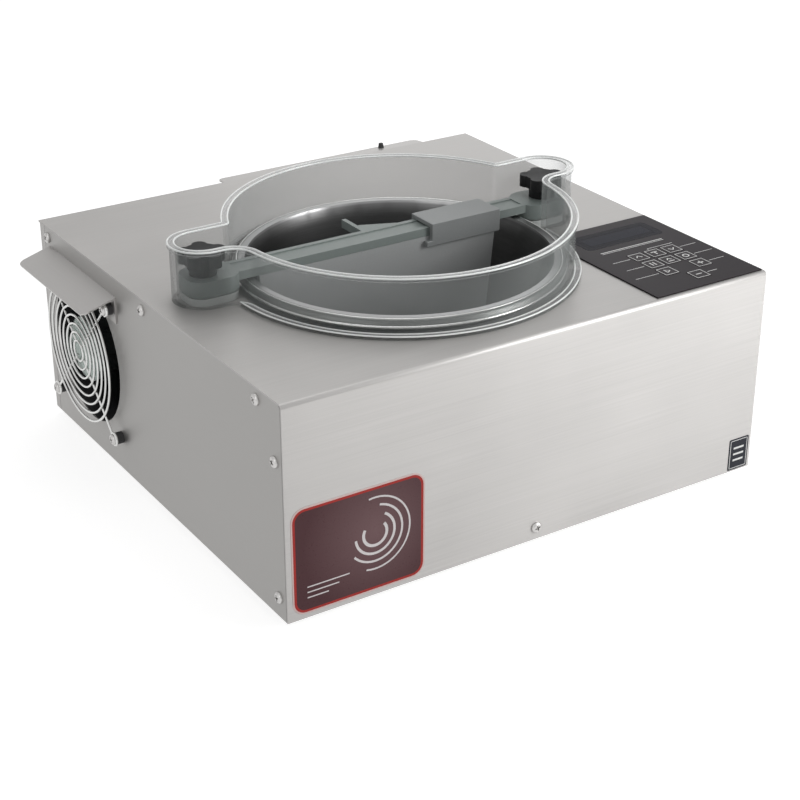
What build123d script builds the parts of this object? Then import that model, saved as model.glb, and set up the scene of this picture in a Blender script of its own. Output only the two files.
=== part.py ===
"""Chocolate tempering machine: a sheet steel case with a turning bowl, a fixed baffle and a clear skirt."""
import math
import os

from build123d import *

os.makedirs("parts", exist_ok=True)

# Case, in millimetres
CASE_W = 400.0
CASE_D = 381.0
CASE_H = 158.5
SHEET = 1.2
BEND = 3.0
FLANGE = 15.0
REAR_RETURN = 10.5
SEAM = 0.4
VENT_W = 5.0
VENT_COLUMNS = 3
VENT_ROWS = 4
VENT_MARGIN = 20.5
VENT_DROP = 30.0

# Feet
FOOT_H = 8.0
FOOT_R = 11.0
FOOT_TIP_R = 9.5
FOOT_INSET = 34.0
FOOT_RECESS = 4.5

# Fasteners and fits
SCREW_R = 1.9
HEAD_R = 4.2
HEAD_H = 2.2
HEAD_TIP_R = 3.0
SCREW_TAIL = 4.0
HOLE_FIT = 0.05
RUN_GAP = 0.5
SEAT_GAP = 0.2

# Places of the panel screws
TOP_ROW_DROP = 9.0
TOP_ROW_FRONT_IN = 32.5
TOP_ROW_REAR_IN = 16.5
COLUMN_FROM_FRONT = 10.5
COLUMN_LOW_UP = 15.0
COLUMN_TOP_DROP = 43.5
BASE_ROW_UP = 9.6
REAR_ROW_IN = 30.0

# Cooling fan in the left wall
FAN_OVER = 19.0
FAN_UNDER = 20.5
FAN_BEHIND = 19.0
FAN_HOLE_IN = 7.0
FAN_LIP = 2.5
FAN_DEPTH = 38.0
FAN_CORNER = 6.0
FAN_FLANGE = 5.0
FAN_WALL = 2.0
FAN_HUB_R = 21.0
FAN_INSET = 3.0
FAN_STRUT_T = 4.0
FAN_STRUT_W = 6.0
FAN_SHAFT_R = 3.0
BLADES = 7
BLADE_TIP_GAP = 1.5
BLADE_BITE = 4.2
BLADE_CHORD = 30.0
BLADE_CAMBER = 4.0
BLADE_T = 1.6
BLADE_ROOT_PITCH = 42.0
BLADE_TIP_PITCH = 60.0

# Wire guard on its spacers
WIRE = 1.8
WIRE_BITE = 0.4
GUARD_RINGS = 8
GUARD_INNER_R = 8.0
GUARD_INSET = 2.0
EYELET_R = 5.6
SPACER_R = 4.6
SPACER_H = 4.0

# Bent hoods over the fan and the rear vents
HOOD_SPARE = 0.5
HOOD_DROP = 15.0
HOOD_FLAP = 28.0
HOOD_TILT = 17.0
HOOD_FLANGE = 20.5
HOOD_CORNER = 6.0
REAR_HOOD_FROM_LEFT = 172.0
REAR_HOOD_FROM_RIGHT = 31.0
REAR_HOOD_DROP = 6.0
REAR_HOOD_FLAP = 35.0
REAR_HOOD_TILT = 6.0
REAR_HOOD_FLANGE = 20.0
REAR_HOOD_SCREW_DROP = 7.0
REAR_HOOD_SCREW_INSET = 24.0
BUMPER_FROM_END = 38.0
BUMPER_R = 2.6
BUMPER_TIP_R = 1.8
BUMPER_H = 4.0
BUMPER_IN = 5.0

# Bowl, turntable and drive
BOWL_RIM_T = 2.5
BOWL_RIM_UP = 10.0
BOWL_RIM_GAP = 5.0
BOWL_LIP = 3.5
BOWL_TAPER = 13.5
BOWL_BASE_UP = 78.5
BOWL_T = 2.0
BOWL_CORNER = 18.0
DIMPLE_R = 14.0
DIMPLE_H = 8.0
OPENING_GAP = 2.5
COLLAR_H = 9.0
TABLE_GAP = 8.0
TABLE_T = 5.0
TABLE_HUB_R = 13.0
TABLE_HUB_H = 10.0
SHAFT_R = 5.0
SHAFT_IN_TABLE = 12.0
SHAFT_IN_MOTOR = 14.0
MOTOR_SHARE = 0.32
MOTOR_H = 36.0
BOSS_SHARE = 0.375
MOTOR_BOSS_H = 6.0
MOTOR_FLOOR_GAP = 4.0
MOTOR_SCREW_IN = 8.0
BRACKET_T = 2.0
BRACKET_SIDE = 12.0
BRACKET_FOOT = 16.0
BRACKET_SPARE = 3.0
BRACKET_SCREW_IN = 10.0
HEATER_EDGE = 2.0
HEATER_SHARE = 0.28
HEATER_T = 4.0
HEATER_DROP = 9.0
HEATER_POST_R = 4.0
HEATER_POSTS = 4

# Clear skirt around the bowl
SKIRT_LEFT_IN = 15.5
SKIRT_RIGHT_IN = 48.5
SKIRT_FRONT_IN = 20.5
SKIRT_WALL = 4.0
SKIRT_H = 42.5
SKIRT_FOOT_LIP = 5.0
SKIRT_FOOT_T = 3.0
SKIRT_BEAD = 1.5
SKIRT_BEAD_H = 3.0
LOBE_R = 22.5
LOBE_OUT = 19.5
LOBE_FRONT_BLEND = 16.0
LOBE_REAR_BLEND = 5.0

# Bridge, knobs and baffle
BRIDGE_BACK = 24.5
POST_H = 6.5
POST_IN = 0.5
NECK_H = 1.2
NECK_IN = 3.0
POST_BUSH_R = 6.0
POST_BUSH_H = 9.0
PAD_T = 11.5
PAD_SIDE_GAP = 2.0
PAD_END_GAP = 1.0
PAD_IN = 24.0
PAD_CORNER = 12.0
BAR_W = 21.0
BAR_T = 6.3
CHANNEL_W = 13.0
CHANNEL_DEPTH = 0.8
FINGER_AT = -9.0
FINGER_L = 28.0
FINGER_W = 3.5
GUSSET_L = 30.0
GUSSET_D = 11.0
STUD_R = 3.0
STUD_SLACK = 0.3
KNOB_HUB_R = 9.8
KNOB_HUB_H = 8.0
KNOB_STAR_R = 17.0
KNOB_STAR_H = 9.0
KNOB_LOBES = 5
KNOB_LOBE_R = 5.4
KNOB_CORE_R = 13.0
CLIP_AT = 35.0
CLIP_END_GAP = 25.5
CLIP_TOP_T = 3.4
CLIP_FRONT_T = 4.0
CLIP_REAR_T = 3.0
CLIP_DROP = 7.5
CLIP_FIT = 0.1
CLIP_NUB = 4.5
BAFFLE_T = 4.0
BAFFLE_GAP = 3.0
BAFFLE_TOP_IN = 18.5
BAFFLE_LOW_IN = 14.0
PROBE_R = 3.0
PROBE_AT = -8.0
PROBE_SOCKET = 4.0
PROBE_FLOOR_GAP = 9.0

# Control panel on the deck
OVERLAY_W = 97.0
OVERLAY_L = 132.0
OVERLAY_T = 1.0
OVERLAY_SIDE = 1.5
OVERLAY_FRONT = 3.5
OVERLAY_GAP = 0.8
OVERLAY_TO_LOBE = 18.0
WINDOW_W = 72.0
WINDOW_L = 27.0
WINDOW_CORNER = 4.0
WINDOW_FROM_RIGHT = 49.0
WINDOW_REAR_IN = 24.5
WINDOW_LEDGE = 3.0
KEYPAD_FROM_RIGHT = 46.0
KEYPAD_BACK = 0.5
KEY_PITCH_X = 15.5
KEY_ROW_PART = 8.25
KEY_PLACES = ((-1, 0), (0, 0), (1, 0), (-1, 1), (0, 1), (1, 1), (-1, 2), (1, 2), (0, 3))
KEY_SIZE = 12.5
KEY_SLACK = 0.3
KEY_LIFT = 0.5
KEY_T = 0.7
KEY_STEM_R = 2.5
KEY_STEM_L = 5.0
KEY_TRAVEL = 0.4
BOARD_W = 84.0
BOARD_LONGER = 4.0
BOARD_T = 1.6
BOARD_DROP = 12.0
BOARD_FROM_RIGHT = 51.0
BOARD_BACK = 2.5
BOARD_SPACER_R = 3.0
BOARD_SPACER_EDGE = 5.0
DISPLAY_W = 78.0
DISPLAY_L = 33.0
SWITCH_SIZE = 6.0

# Mains inlet, switch and power supply
INLET_FROM_LEFT = 62.0
MAINS_UP = 38.0
INLET_W = 50.0
INLET_H = 24.0
INLET_LIP = 2.5
INLET_BODY_W = 27.0
INLET_BODY_H = 20.0
INLET_BODY_D = 22.0
INLET_SCREW_PITCH = 40.0
SOCKET_W = 23.0
SOCKET_H = 15.0
SOCKET_D = 16.0
PIN_PITCH = 7.0
PIN_W = 2.0
PIN_H = 4.0
PIN_L = 11.0
ROCKER_FROM_LEFT = 122.0
BEZEL_W = 25.0
BEZEL_H = 31.0
BEZEL_T = 2.0
HOUSING_W = 19.0
HOUSING_H = 27.0
HOUSING_D = 18.0
ROCKER_W = 13.0
ROCKER_R = 10.5
ROCKER_GAP = 0.4
ROCKER_PIVOT_IN = 4.0
ROCKER_RISE = 5.0
ROCKER_DIP = 2.5
ROCKER_TIP = 8.8
ROCKER_TILT = 10.0
ROCKER_PIN_R = 1.5
SUPPLY_W = 110.0
SUPPLY_D = 70.0
SUPPLY_H = 42.0
SUPPLY_FROM_RIGHT = 100.0
SUPPLY_FROM_REAR = 60.0
SUPPLY_SPACER_H = 6.0
SUPPLY_SPACER_R = 4.0
SUPPLY_SPACER_EDGE = 9.0
SUPPLY_EDGE = 3.0

# Frame: the origin is on the floor, in the middle of the overall outline
SIDE_REACH = HOOD_FLAP * math.cos(math.radians(HOOD_TILT))
REAR_REACH = REAR_HOOD_FLAP * math.cos(math.radians(REAR_HOOD_TILT))
LEFT = (SIDE_REACH - CASE_W - HEAD_H) / 2
RIGHT = LEFT + CASE_W
FRONT = (HEAD_H - CASE_D - REAR_REACH) / 2
REAR = FRONT + CASE_D
BOTTOM = FOOT_H
DECK = BOTTOM + CASE_H
FLOOR = BOTTOM + SHEET
FLANGE_X0 = LEFT + SHEET + BEND
FLANGE_X1 = RIGHT - SHEET - BEND

# Places worked out from the sizes above
FAN_SIZE = CASE_H - FAN_OVER - FAN_UNDER
FAN_PITCH = FAN_SIZE - 2 * FAN_HOLE_IN
FAN_CORNER_R = math.hypot(FAN_PITCH, FAN_PITCH) / 2
FAN_BORE_R = FAN_SIZE / 2 - FAN_LIP
FAN_Y = REAR - FAN_BEHIND - FAN_SIZE / 2
FAN_Z = BOTTOM + FAN_UNDER + FAN_SIZE / 2
FAN_X0 = LEFT + SHEET
FAN_X1 = FAN_X0 + FAN_DEPTH
GUARD_X = LEFT - SHEET - SPACER_H
GUARD_OUTER_R = FAN_BORE_R - GUARD_INSET
RING_PITCH = (GUARD_OUTER_R - GUARD_INNER_R) / (GUARD_RINGS - 1)
HOOD_W = FAN_SIZE + 2 * HOOD_SPARE
HOOD_Z = DECK - HOOD_DROP
REAR_HOOD_W = CASE_W - REAR_HOOD_FROM_LEFT - REAR_HOOD_FROM_RIGHT
REAR_HOOD_X = LEFT + REAR_HOOD_FROM_LEFT
REAR_HOOD_Z = DECK - REAR_HOOD_DROP
KNOB_SPAN = (CASE_W - SKIRT_LEFT_IN - SKIRT_RIGHT_IN) / 2 - LOBE_R
SKIRT_R = KNOB_SPAN - LOBE_OUT
SKIRT_FOOT_R = SKIRT_R + SKIRT_FOOT_LIP
BOWL_RIM_R = SKIRT_R - SKIRT_WALL - BOWL_RIM_GAP
BOWL_WALL_R = BOWL_RIM_R - BOWL_LIP
BOWL_BASE_R = BOWL_WALL_R - BOWL_TAPER
OPENING_R = BOWL_WALL_R + OPENING_GAP
BOWL_X = LEFT + SKIRT_LEFT_IN + LOBE_R + KNOB_SPAN
OVERLAY_REAR = FRONT + OVERLAY_FRONT + OVERLAY_L
BEHIND_OVERLAY = OVERLAY_REAR + OVERLAY_TO_LOBE + LOBE_R - BRIDGE_BACK
BOWL_Y = max(FRONT + SKIRT_FRONT_IN + SKIRT_FOOT_R, BEHIND_OVERLAY)
BOWL_TOP = DECK + BOWL_RIM_UP
BOWL_Z = BOTTOM + BOWL_BASE_UP
BOWL_AXIS = Axis((BOWL_X, BOWL_Y, 0), (0, 0, 1))
TABLE_Z = BOWL_Z - TABLE_T
SHAFT_TOP = BOWL_Z - TABLE_T - TABLE_HUB_H + SHAFT_IN_TABLE
HEATER_OUT_R = BOWL_BASE_R - HEATER_EDGE
HEATER_IN_R = HEATER_OUT_R - HEATER_SHARE * BOWL_BASE_R
TABLE_R = HEATER_IN_R - TABLE_GAP
MOTOR_R = MOTOR_SHARE * BOWL_BASE_R
MOTOR_SCREW_R = MOTOR_R - MOTOR_SCREW_IN
MOTOR_BOSS_R = BOSS_SHARE * MOTOR_R
BRACKET_HALF = MOTOR_R + BRACKET_SIDE
BRACKET_D = 2 * (MOTOR_R + BRACKET_SPARE)
MOTOR_Z = FLOOR + MOTOR_FLOOR_GAP
MOTOR_TOP = MOTOR_Z + MOTOR_H
BRACKET_TOP = MOTOR_TOP + BRACKET_T
SHAFT_Z = MOTOR_TOP + MOTOR_BOSS_H - SHAFT_IN_MOTOR
HEATER_Z = BOWL_Z - HEATER_DROP - HEATER_T
BRIDGE_Y = BOWL_Y + BRIDGE_BACK
PAD_Z = DECK + POST_H
LOBE_IN_R = LOBE_R - SKIRT_WALL
PAD_W = 2 * (LOBE_IN_R - PAD_SIDE_GAP)
PAD_OUT = PAD_CORNER + math.sqrt((LOBE_IN_R - PAD_END_GAP - PAD_CORNER) ** 2 - (PAD_W / 2 - PAD_CORNER) ** 2)
BAR_TOP = PAD_Z + PAD_T
BAR_Z = BAR_TOP - BAR_T
BAFFLE_TOP = BAR_Z - SEAT_GAP
BOARD_Z = DECK - SHEET - BOARD_DROP - BOARD_T
KEY_X = RIGHT - KEYPAD_FROM_RIGHT
KEY_Y = OVERLAY_REAR - OVERLAY_L / 2 - KEYPAD_BACK
KEY_PITCH_Y = OVERLAY_L / KEY_ROW_PART
WINDOW_X = RIGHT - WINDOW_FROM_RIGHT
WINDOW_Y = OVERLAY_REAR - WINDOW_REAR_IN
MAINS_Z = BOTTOM + MAINS_UP


def finish(piece, label):
    """Name one finished piece and write it out."""
    piece.part.label = label
    export_step(piece.part, f"parts/{label}.step")


def block(x0, x1, y0, y1, z0, z1, mode=Mode.ADD):
    """Box between two corners."""
    with Locations(((x0 + x1) / 2, (y0 + y1) / 2, (z0 + z1) / 2)):
        Box(x1 - x0, y1 - y0, z1 - z0, mode=mode)


def rod(plane, radius, length, mode=Mode.ADD, tip=None):
    """Round bar from the origin of a plane along its normal, narrowing to a tip radius if one is given."""
    start = Align.MIN if length > 0 else Align.MAX
    with Locations(plane):
        if tip is None:
            Cylinder(radius, abs(length), align=(Align.CENTER, Align.CENTER, start), mode=mode)
        else:
            Cone(radius, tip, length, align=(Align.CENTER, Align.CENTER, start), mode=mode)


def left_plane(y, z, x=LEFT):
    """Plane on the left wall that faces outwards, with local x to the rear and y up."""
    return Plane(origin=(x, y, z), x_dir=(0, -1, 0), z_dir=(-1, 0, 0))


def right_plane(y, z):
    """Plane on the right wall that faces outwards."""
    return Plane(origin=(RIGHT, y, z), x_dir=(0, 1, 0), z_dir=(1, 0, 0))


def front_plane(x, z):
    """Plane on the front wall that faces outwards."""
    return Plane(origin=(x, FRONT, z), x_dir=(1, 0, 0), z_dir=(0, -1, 0))


def rear_plane(x, z, y=REAR):
    """Plane on the rear wall that faces outwards."""
    return Plane(origin=(x, y, z), x_dir=(-1, 0, 0), z_dir=(0, 1, 0))


def level_plane(x, y, z):
    """Level plane through a point."""
    return Plane(origin=(x, y, z))


def drill(planes, depth, radius=SCREW_R + HOLE_FIT):
    """Holes cut inwards from each plane."""
    for plane in planes:
        rod(plane, radius, -depth, mode=Mode.SUBTRACT)


def screw(plane, grip):
    """Pan head screw with its head on a plane and its shank going inwards."""
    rod(plane, HEAD_R, HEAD_H, tip=HEAD_TIP_R)
    rod(plane, SCREW_R, -grip)


def hood_outline(flap, tilt, flange):
    """Section of a bent hood, outwards along x and up along y from the top of its wall flange."""
    angle = math.radians(tilt)
    tip = (flap * math.cos(angle), -flap * math.sin(angle))
    under_tip = (tip[0] - SHEET * math.sin(angle), tip[1] - SHEET * math.cos(angle))
    run = SHEET * (1 + math.sin(angle)) / math.cos(angle)
    inner = (SHEET, -SHEET * math.cos(angle) - run * math.sin(angle))
    Polyline((0, 0), tip, under_tip, inner, (SHEET, -flange), (0, -flange), close=True)


def side_screw_points():
    """Height and depth of the five screws of a side panel."""
    first = FRONT + TOP_ROW_FRONT_IN
    last = REAR - TOP_ROW_REAR_IN
    row = [(y, DECK - TOP_ROW_DROP) for y in (first, (first + last) / 2, last)]
    column = [(FRONT + COLUMN_FROM_FRONT, z) for z in (BOTTOM + COLUMN_LOW_UP, DECK - COLUMN_TOP_DROP)]
    return row + column


LEFT_SCREWS = [left_plane(y, z) for y, z in side_screw_points()]
RIGHT_SCREWS = [right_plane(y, z) for y, z in side_screw_points()]
MIDDLE_X = LEFT + CASE_W / 2
FRONT_SCREWS = [front_plane(MIDDLE_X, BOTTOM + BASE_ROW_UP)]
REAR_ROW_X = (LEFT + REAR_ROW_IN, MIDDLE_X, RIGHT - REAR_ROW_IN)
REAR_SCREWS = [rear_plane(x, BOTTOM + BASE_ROW_UP) for x in REAR_ROW_X]
HOOD_SCREW_X = (REAR_HOOD_X + REAR_HOOD_SCREW_INSET, REAR_HOOD_X + REAR_HOOD_W - REAR_HOOD_SCREW_INSET)
HOOD_SCREWS = [rear_plane(x, REAR_HOOD_Z - REAR_HOOD_SCREW_DROP, REAR + SHEET) for x in HOOD_SCREW_X]
FAN_CORNERS = [(FAN_Y + i * FAN_PITCH / 2, FAN_Z + j * FAN_PITCH / 2, j) for i in (-1, 1) for j in (-1, 1)]
FOOT_X = (LEFT + FOOT_INSET, RIGHT - FOOT_INSET)
FOOT_Y = (FRONT + FOOT_INSET, REAR - FOOT_INSET)
FOOT_PLACES = [(x, y) for x in FOOT_X for y in FOOT_Y]
POST_PLACES = [(BOWL_X - KNOB_SPAN, -1), (BOWL_X + KNOB_SPAN, 1)]
KEY_SPOTS = [(KEY_X + i * KEY_PITCH_X, KEY_Y - j * KEY_PITCH_Y) for i, j in KEY_PLACES]
BRACKET_X = (BOWL_X - BRACKET_HALF - BRACKET_FOOT / 2, BOWL_X + BRACKET_HALF + BRACKET_FOOT / 2)
BRACKET_Y = (BOWL_Y - BRACKET_D / 2 + BRACKET_SCREW_IN, BOWL_Y + BRACKET_D / 2 - BRACKET_SCREW_IN)
BRACKET_PLACES = [(x, y) for x in BRACKET_X for y in BRACKET_Y]
MOTOR_PLACES = [(BOWL_X - MOTOR_SCREW_R, BOWL_Y), (BOWL_X + MOTOR_SCREW_R, BOWL_Y)]

# Top and front of the case, bent from one sheet
with BuildPart() as wrap_cover:
    with BuildSketch(Plane.YZ.offset(LEFT)):
        with BuildLine():
            outside = FilletPolyline((REAR, DECK), (FRONT, DECK), (FRONT, BOTTOM), radius=BEND)
            inside = FilletPolyline(
                (REAR, DECK - SHEET),
                (FRONT + SHEET, DECK - SHEET),
                (FRONT + SHEET, BOTTOM),
                radius=BEND - SHEET,
            )
            Line(outside @ 0, inside @ 0)
            Line(outside @ 1, inside @ 1)
        make_face()
    extrude(amount=CASE_W)
    for wall, inward in ((LEFT, 1), (RIGHT, -1)):
        near, far = sorted((wall + inward * SHEET, wall + inward * 2 * SHEET))
        block(near, far, FRONT + SHEET, REAR - SHEET - BEND, DECK - SHEET - FLANGE, DECK - SHEET)
        block(near, far, FRONT + SHEET, FRONT + SHEET + FLANGE, FLOOR, DECK - SHEET)
    block(FLANGE_X0, FLANGE_X1, REAR - 2 * SHEET, REAR - SHEET, DECK - SHEET - FLANGE, DECK - SHEET)
    with BuildSketch(level_plane(BOWL_X, BOWL_Y, DECK)):
        Circle(OPENING_R + SHEET)
    extrude(amount=-COLLAR_H)
    with BuildSketch(level_plane(BOWL_X, BOWL_Y, DECK)):
        Circle(OPENING_R)
    extrude(amount=-COLLAR_H, mode=Mode.SUBTRACT)
    drill(LEFT_SCREWS + RIGHT_SCREWS, 2 * SHEET)
    drill(FRONT_SCREWS, SHEET)
    drill([rear_plane(x, REAR_HOOD_Z - REAR_HOOD_SCREW_DROP) for x in HOOD_SCREW_X], 2 * SHEET)
    drill([level_plane(x, y, DECK) for x, y in KEY_SPOTS], SHEET, KEY_STEM_R + KEY_SLACK)
    drill([level_plane(x, BRIDGE_Y, DECK) for x, _ in POST_PLACES], SHEET, POST_BUSH_R + HOLE_FIT)
    with BuildSketch(level_plane(WINDOW_X, WINDOW_Y, DECK)):
        Rectangle(WINDOW_W - 2 * WINDOW_LEDGE, WINDOW_L - 2 * WINDOW_LEDGE)
    extrude(amount=-SHEET, mode=Mode.SUBTRACT)
finish(wrap_cover, "wrap_cover")

# Side panels, flush under the top sheet and behind the front sheet
with BuildPart() as left_panel:
    block(LEFT, LEFT + SHEET, FRONT + SHEET + SEAM, REAR - REAR_RETURN - SEAM, BOTTOM, DECK - SHEET)
    fillet(left_panel.edges().filter_by(Axis.X).sort_by(Axis.Y)[:2].sort_by(Axis.Z)[-1:], BEND)
    drill(LEFT_SCREWS, SHEET)
    drill([left_plane(FAN_Y, FAN_Z)], SHEET, FAN_BORE_R)
    drill([left_plane(y, z) for y, z, _ in FAN_CORNERS], SHEET)
finish(left_panel, "left_panel")

with BuildPart() as right_panel:
    block(RIGHT - SHEET, RIGHT, FRONT + SHEET + SEAM, REAR - REAR_RETURN - SEAM, BOTTOM, DECK - SHEET)
    fillet(right_panel.edges().filter_by(Axis.X).sort_by(Axis.Y)[:2].sort_by(Axis.Z)[-1:], BEND)
    drill(RIGHT_SCREWS, SHEET)
finish(right_panel, "right_panel")

# Rear panel with its two side returns, the vents under the hood and the mains cut-outs
VENT_X = REAR_HOOD_X + REAR_HOOD_W / 2
VENT_Z = REAR_HOOD_Z - REAR_HOOD_FLANGE - VENT_DROP
VENT_PITCH = (REAR_HOOD_W - 2 * VENT_MARGIN) / VENT_COLUMNS
with BuildPart() as rear_panel:
    with BuildSketch(level_plane(0, 0, BOTTOM)):
        with BuildLine():
            outside = FilletPolyline(
                (LEFT, REAR - REAR_RETURN),
                (LEFT, REAR),
                (RIGHT, REAR),
                (RIGHT, REAR - REAR_RETURN),
                radius=BEND,
            )
            inside = FilletPolyline(
                (LEFT + SHEET, REAR - REAR_RETURN),
                (LEFT + SHEET, REAR - SHEET),
                (RIGHT - SHEET, REAR - SHEET),
                (RIGHT - SHEET, REAR - REAR_RETURN),
                radius=BEND - SHEET,
            )
            Line(outside @ 0, inside @ 0)
            Line(outside @ 1, inside @ 1)
        make_face()
    extrude(amount=CASE_H - SHEET)
    drill(REAR_SCREWS, SHEET)
    drill([rear_plane(x, REAR_HOOD_Z - REAR_HOOD_SCREW_DROP) for x in HOOD_SCREW_X], SHEET)
    with BuildSketch(rear_plane(VENT_X, VENT_Z)):
        with GridLocations(VENT_PITCH, 2 * VENT_W, VENT_COLUMNS, VENT_ROWS):
            SlotOverall(VENT_PITCH - 2 * VENT_W, VENT_W)
    extrude(amount=-SHEET, mode=Mode.SUBTRACT)
    with BuildSketch(rear_plane(LEFT + INLET_FROM_LEFT, MAINS_Z)):
        Rectangle(INLET_BODY_W + 2 * HOLE_FIT, INLET_BODY_H + 2 * HOLE_FIT)
        with GridLocations(INLET_SCREW_PITCH, 0, 2, 1):
            Circle(SCREW_R + HOLE_FIT)
    extrude(amount=-SHEET, mode=Mode.SUBTRACT)
    with BuildSketch(rear_plane(LEFT + ROCKER_FROM_LEFT, MAINS_Z)):
        Rectangle(HOUSING_W + 2 * HOLE_FIT, HOUSING_H + 2 * HOLE_FIT)
    extrude(amount=-SHEET, mode=Mode.SUBTRACT)
finish(rear_panel, "rear_panel")

# Base pan with upturned edges
PAN_SIDE_Y = (FRONT + SHEET + FLANGE + SEAM, REAR - REAR_RETURN - SEAM)
with BuildPart() as base_pan:
    block(LEFT + SHEET, RIGHT - SHEET, FRONT + SHEET, REAR - SHEET, BOTTOM, FLOOR)
    fillet(base_pan.edges().filter_by(Axis.Z).sort_by(Axis.Y)[-2:], BEND)
    block(LEFT + SHEET, LEFT + 2 * SHEET, *PAN_SIDE_Y, FLOOR, FLOOR + FLANGE)
    block(RIGHT - 2 * SHEET, RIGHT - SHEET, *PAN_SIDE_Y, FLOOR, FLOOR + FLANGE)
    block(FLANGE_X0, FLANGE_X1, FRONT + SHEET, FRONT + 2 * SHEET, FLOOR, FLOOR + FLANGE)
    block(FLANGE_X0, FLANGE_X1, REAR - 2 * SHEET, REAR - SHEET, FLOOR, FLOOR + FLANGE)
    drill(FRONT_SCREWS + REAR_SCREWS, 2 * SHEET)
    drill([level_plane(x, y, FLOOR) for x, y in FOOT_PLACES + BRACKET_PLACES], SHEET)
finish(base_pan, "base_pan")

# Rubber feet, each held by a screw from below
FOOT_SEATS = [Plane(origin=(x, y, FOOT_RECESS), z_dir=(0, 0, -1)) for x, y in FOOT_PLACES]
with BuildPart() as feet:
    for x, y in FOOT_PLACES:
        rod(Plane(origin=(x, y, FOOT_H), z_dir=(0, 0, -1)), FOOT_R, FOOT_H, tip=FOOT_TIP_R)
    drill(FOOT_SEATS, FOOT_H - FOOT_RECESS)
    drill([level_plane(x, y, FOOT_RECESS) for x, y in FOOT_PLACES], FOOT_RECESS, HEAD_R + RUN_GAP)
finish(feet, "feet")

with BuildPart() as foot_screws:
    for seat in FOOT_SEATS:
        screw(seat, FOOT_H - FOOT_RECESS + SHEET + SCREW_TAIL)
finish(foot_screws, "foot_screws")

# Screws of the four walls
with BuildPart() as left_panel_screws:
    for seat in LEFT_SCREWS:
        screw(seat, 2 * SHEET + SCREW_TAIL)
finish(left_panel_screws, "left_panel_screws")

with BuildPart() as right_panel_screws:
    for seat in RIGHT_SCREWS:
        screw(seat, 2 * SHEET + SCREW_TAIL)
finish(right_panel_screws, "right_panel_screws")

with BuildPart() as front_screw:
    for seat in FRONT_SCREWS:
        screw(seat, 2 * SHEET + SCREW_TAIL)
finish(front_screw, "front_screw")

with BuildPart() as rear_panel_screws:
    for seat in REAR_SCREWS:
        screw(seat, 2 * SHEET + SCREW_TAIL)
finish(rear_panel_screws, "rear_panel_screws")


def fan_plane(x):
    """Plane across the fan axis, with its normal into the case."""
    return Plane(origin=(x, FAN_Y, FAN_Z), x_dir=(0, 1, 0), z_dir=(1, 0, 0))


# Square fan frame: two flanges, a barrel and four struts that carry the motor plate
with BuildPart() as fan_frame:
    for flange_x in (FAN_X0, FAN_X1 - FAN_FLANGE):
        with BuildSketch(fan_plane(flange_x)):
            RectangleRounded(FAN_SIZE, FAN_SIZE, FAN_CORNER)
            Circle(FAN_BORE_R, mode=Mode.SUBTRACT)
            with GridLocations(FAN_PITCH, FAN_PITCH, 2, 2):
                Circle(SCREW_R + HOLE_FIT, mode=Mode.SUBTRACT)
        extrude(amount=FAN_FLANGE)
    with BuildSketch(fan_plane(FAN_X0)):
        Circle(FAN_BORE_R + FAN_WALL)
        Circle(FAN_BORE_R, mode=Mode.SUBTRACT)
    extrude(amount=FAN_DEPTH)
    with BuildSketch(fan_plane(FAN_X1 - FAN_STRUT_T)):
        Circle(FAN_HUB_R)
        with PolarLocations((FAN_HUB_R + FAN_BORE_R) / 2, 4, start_angle=45):
            Rectangle(FAN_BORE_R - FAN_HUB_R + FAN_WALL, FAN_STRUT_W)
        Circle(FAN_SHAFT_R + HOLE_FIT, mode=Mode.SUBTRACT)
    extrude(amount=FAN_STRUT_T)
finish(fan_frame, "fan_frame")

# Rotor with twisted, cambered blades
BLADE_X = (FAN_X0 + FAN_INSET + FAN_X1 - FAN_STRUT_T - RUN_GAP) / 2
BLADE_ROOT_R = FAN_HUB_R - BLADE_BITE
BLADE_TIP_R = FAN_BORE_R - BLADE_TIP_GAP
with BuildPart() as fan_rotor:
    for blade in range(BLADES):
        turn = 2 * math.pi * blade / BLADES
        ray = Vector(0, math.cos(turn), math.sin(turn))
        across = Vector(0, -math.sin(turn), math.cos(turn))
        for radius, pitch in ((BLADE_ROOT_R, BLADE_ROOT_PITCH), (FAN_BORE_R, BLADE_TIP_PITCH)):
            spot = Vector(BLADE_X, FAN_Y, FAN_Z) + ray * radius
            lean = math.radians(pitch)
            chord = Vector(1, 0, 0) * math.cos(lean) + across * math.sin(lean)
            with BuildSketch(Plane(origin=spot, x_dir=chord, z_dir=ray)):
                with BuildLine():
                    ThreePointArc((-BLADE_CHORD / 2, 0), (0, BLADE_CAMBER), (BLADE_CHORD / 2, 0))
                    ThreePointArc((BLADE_CHORD / 2, 0), (0, BLADE_CAMBER - BLADE_T), (-BLADE_CHORD / 2, 0))
                make_face()
        loft(ruled=True)
    rod(fan_plane(FAN_X0), BLADE_TIP_R, FAN_DEPTH, mode=Mode.INTERSECT)
    rod(fan_plane(FAN_X0 + FAN_INSET), FAN_HUB_R, FAN_DEPTH - FAN_INSET - FAN_STRUT_T - RUN_GAP)
    rod(fan_plane(BLADE_X), FAN_SHAFT_R, FAN_X1 - BLADE_X)
finish(fan_rotor, "fan_rotor")

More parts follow.
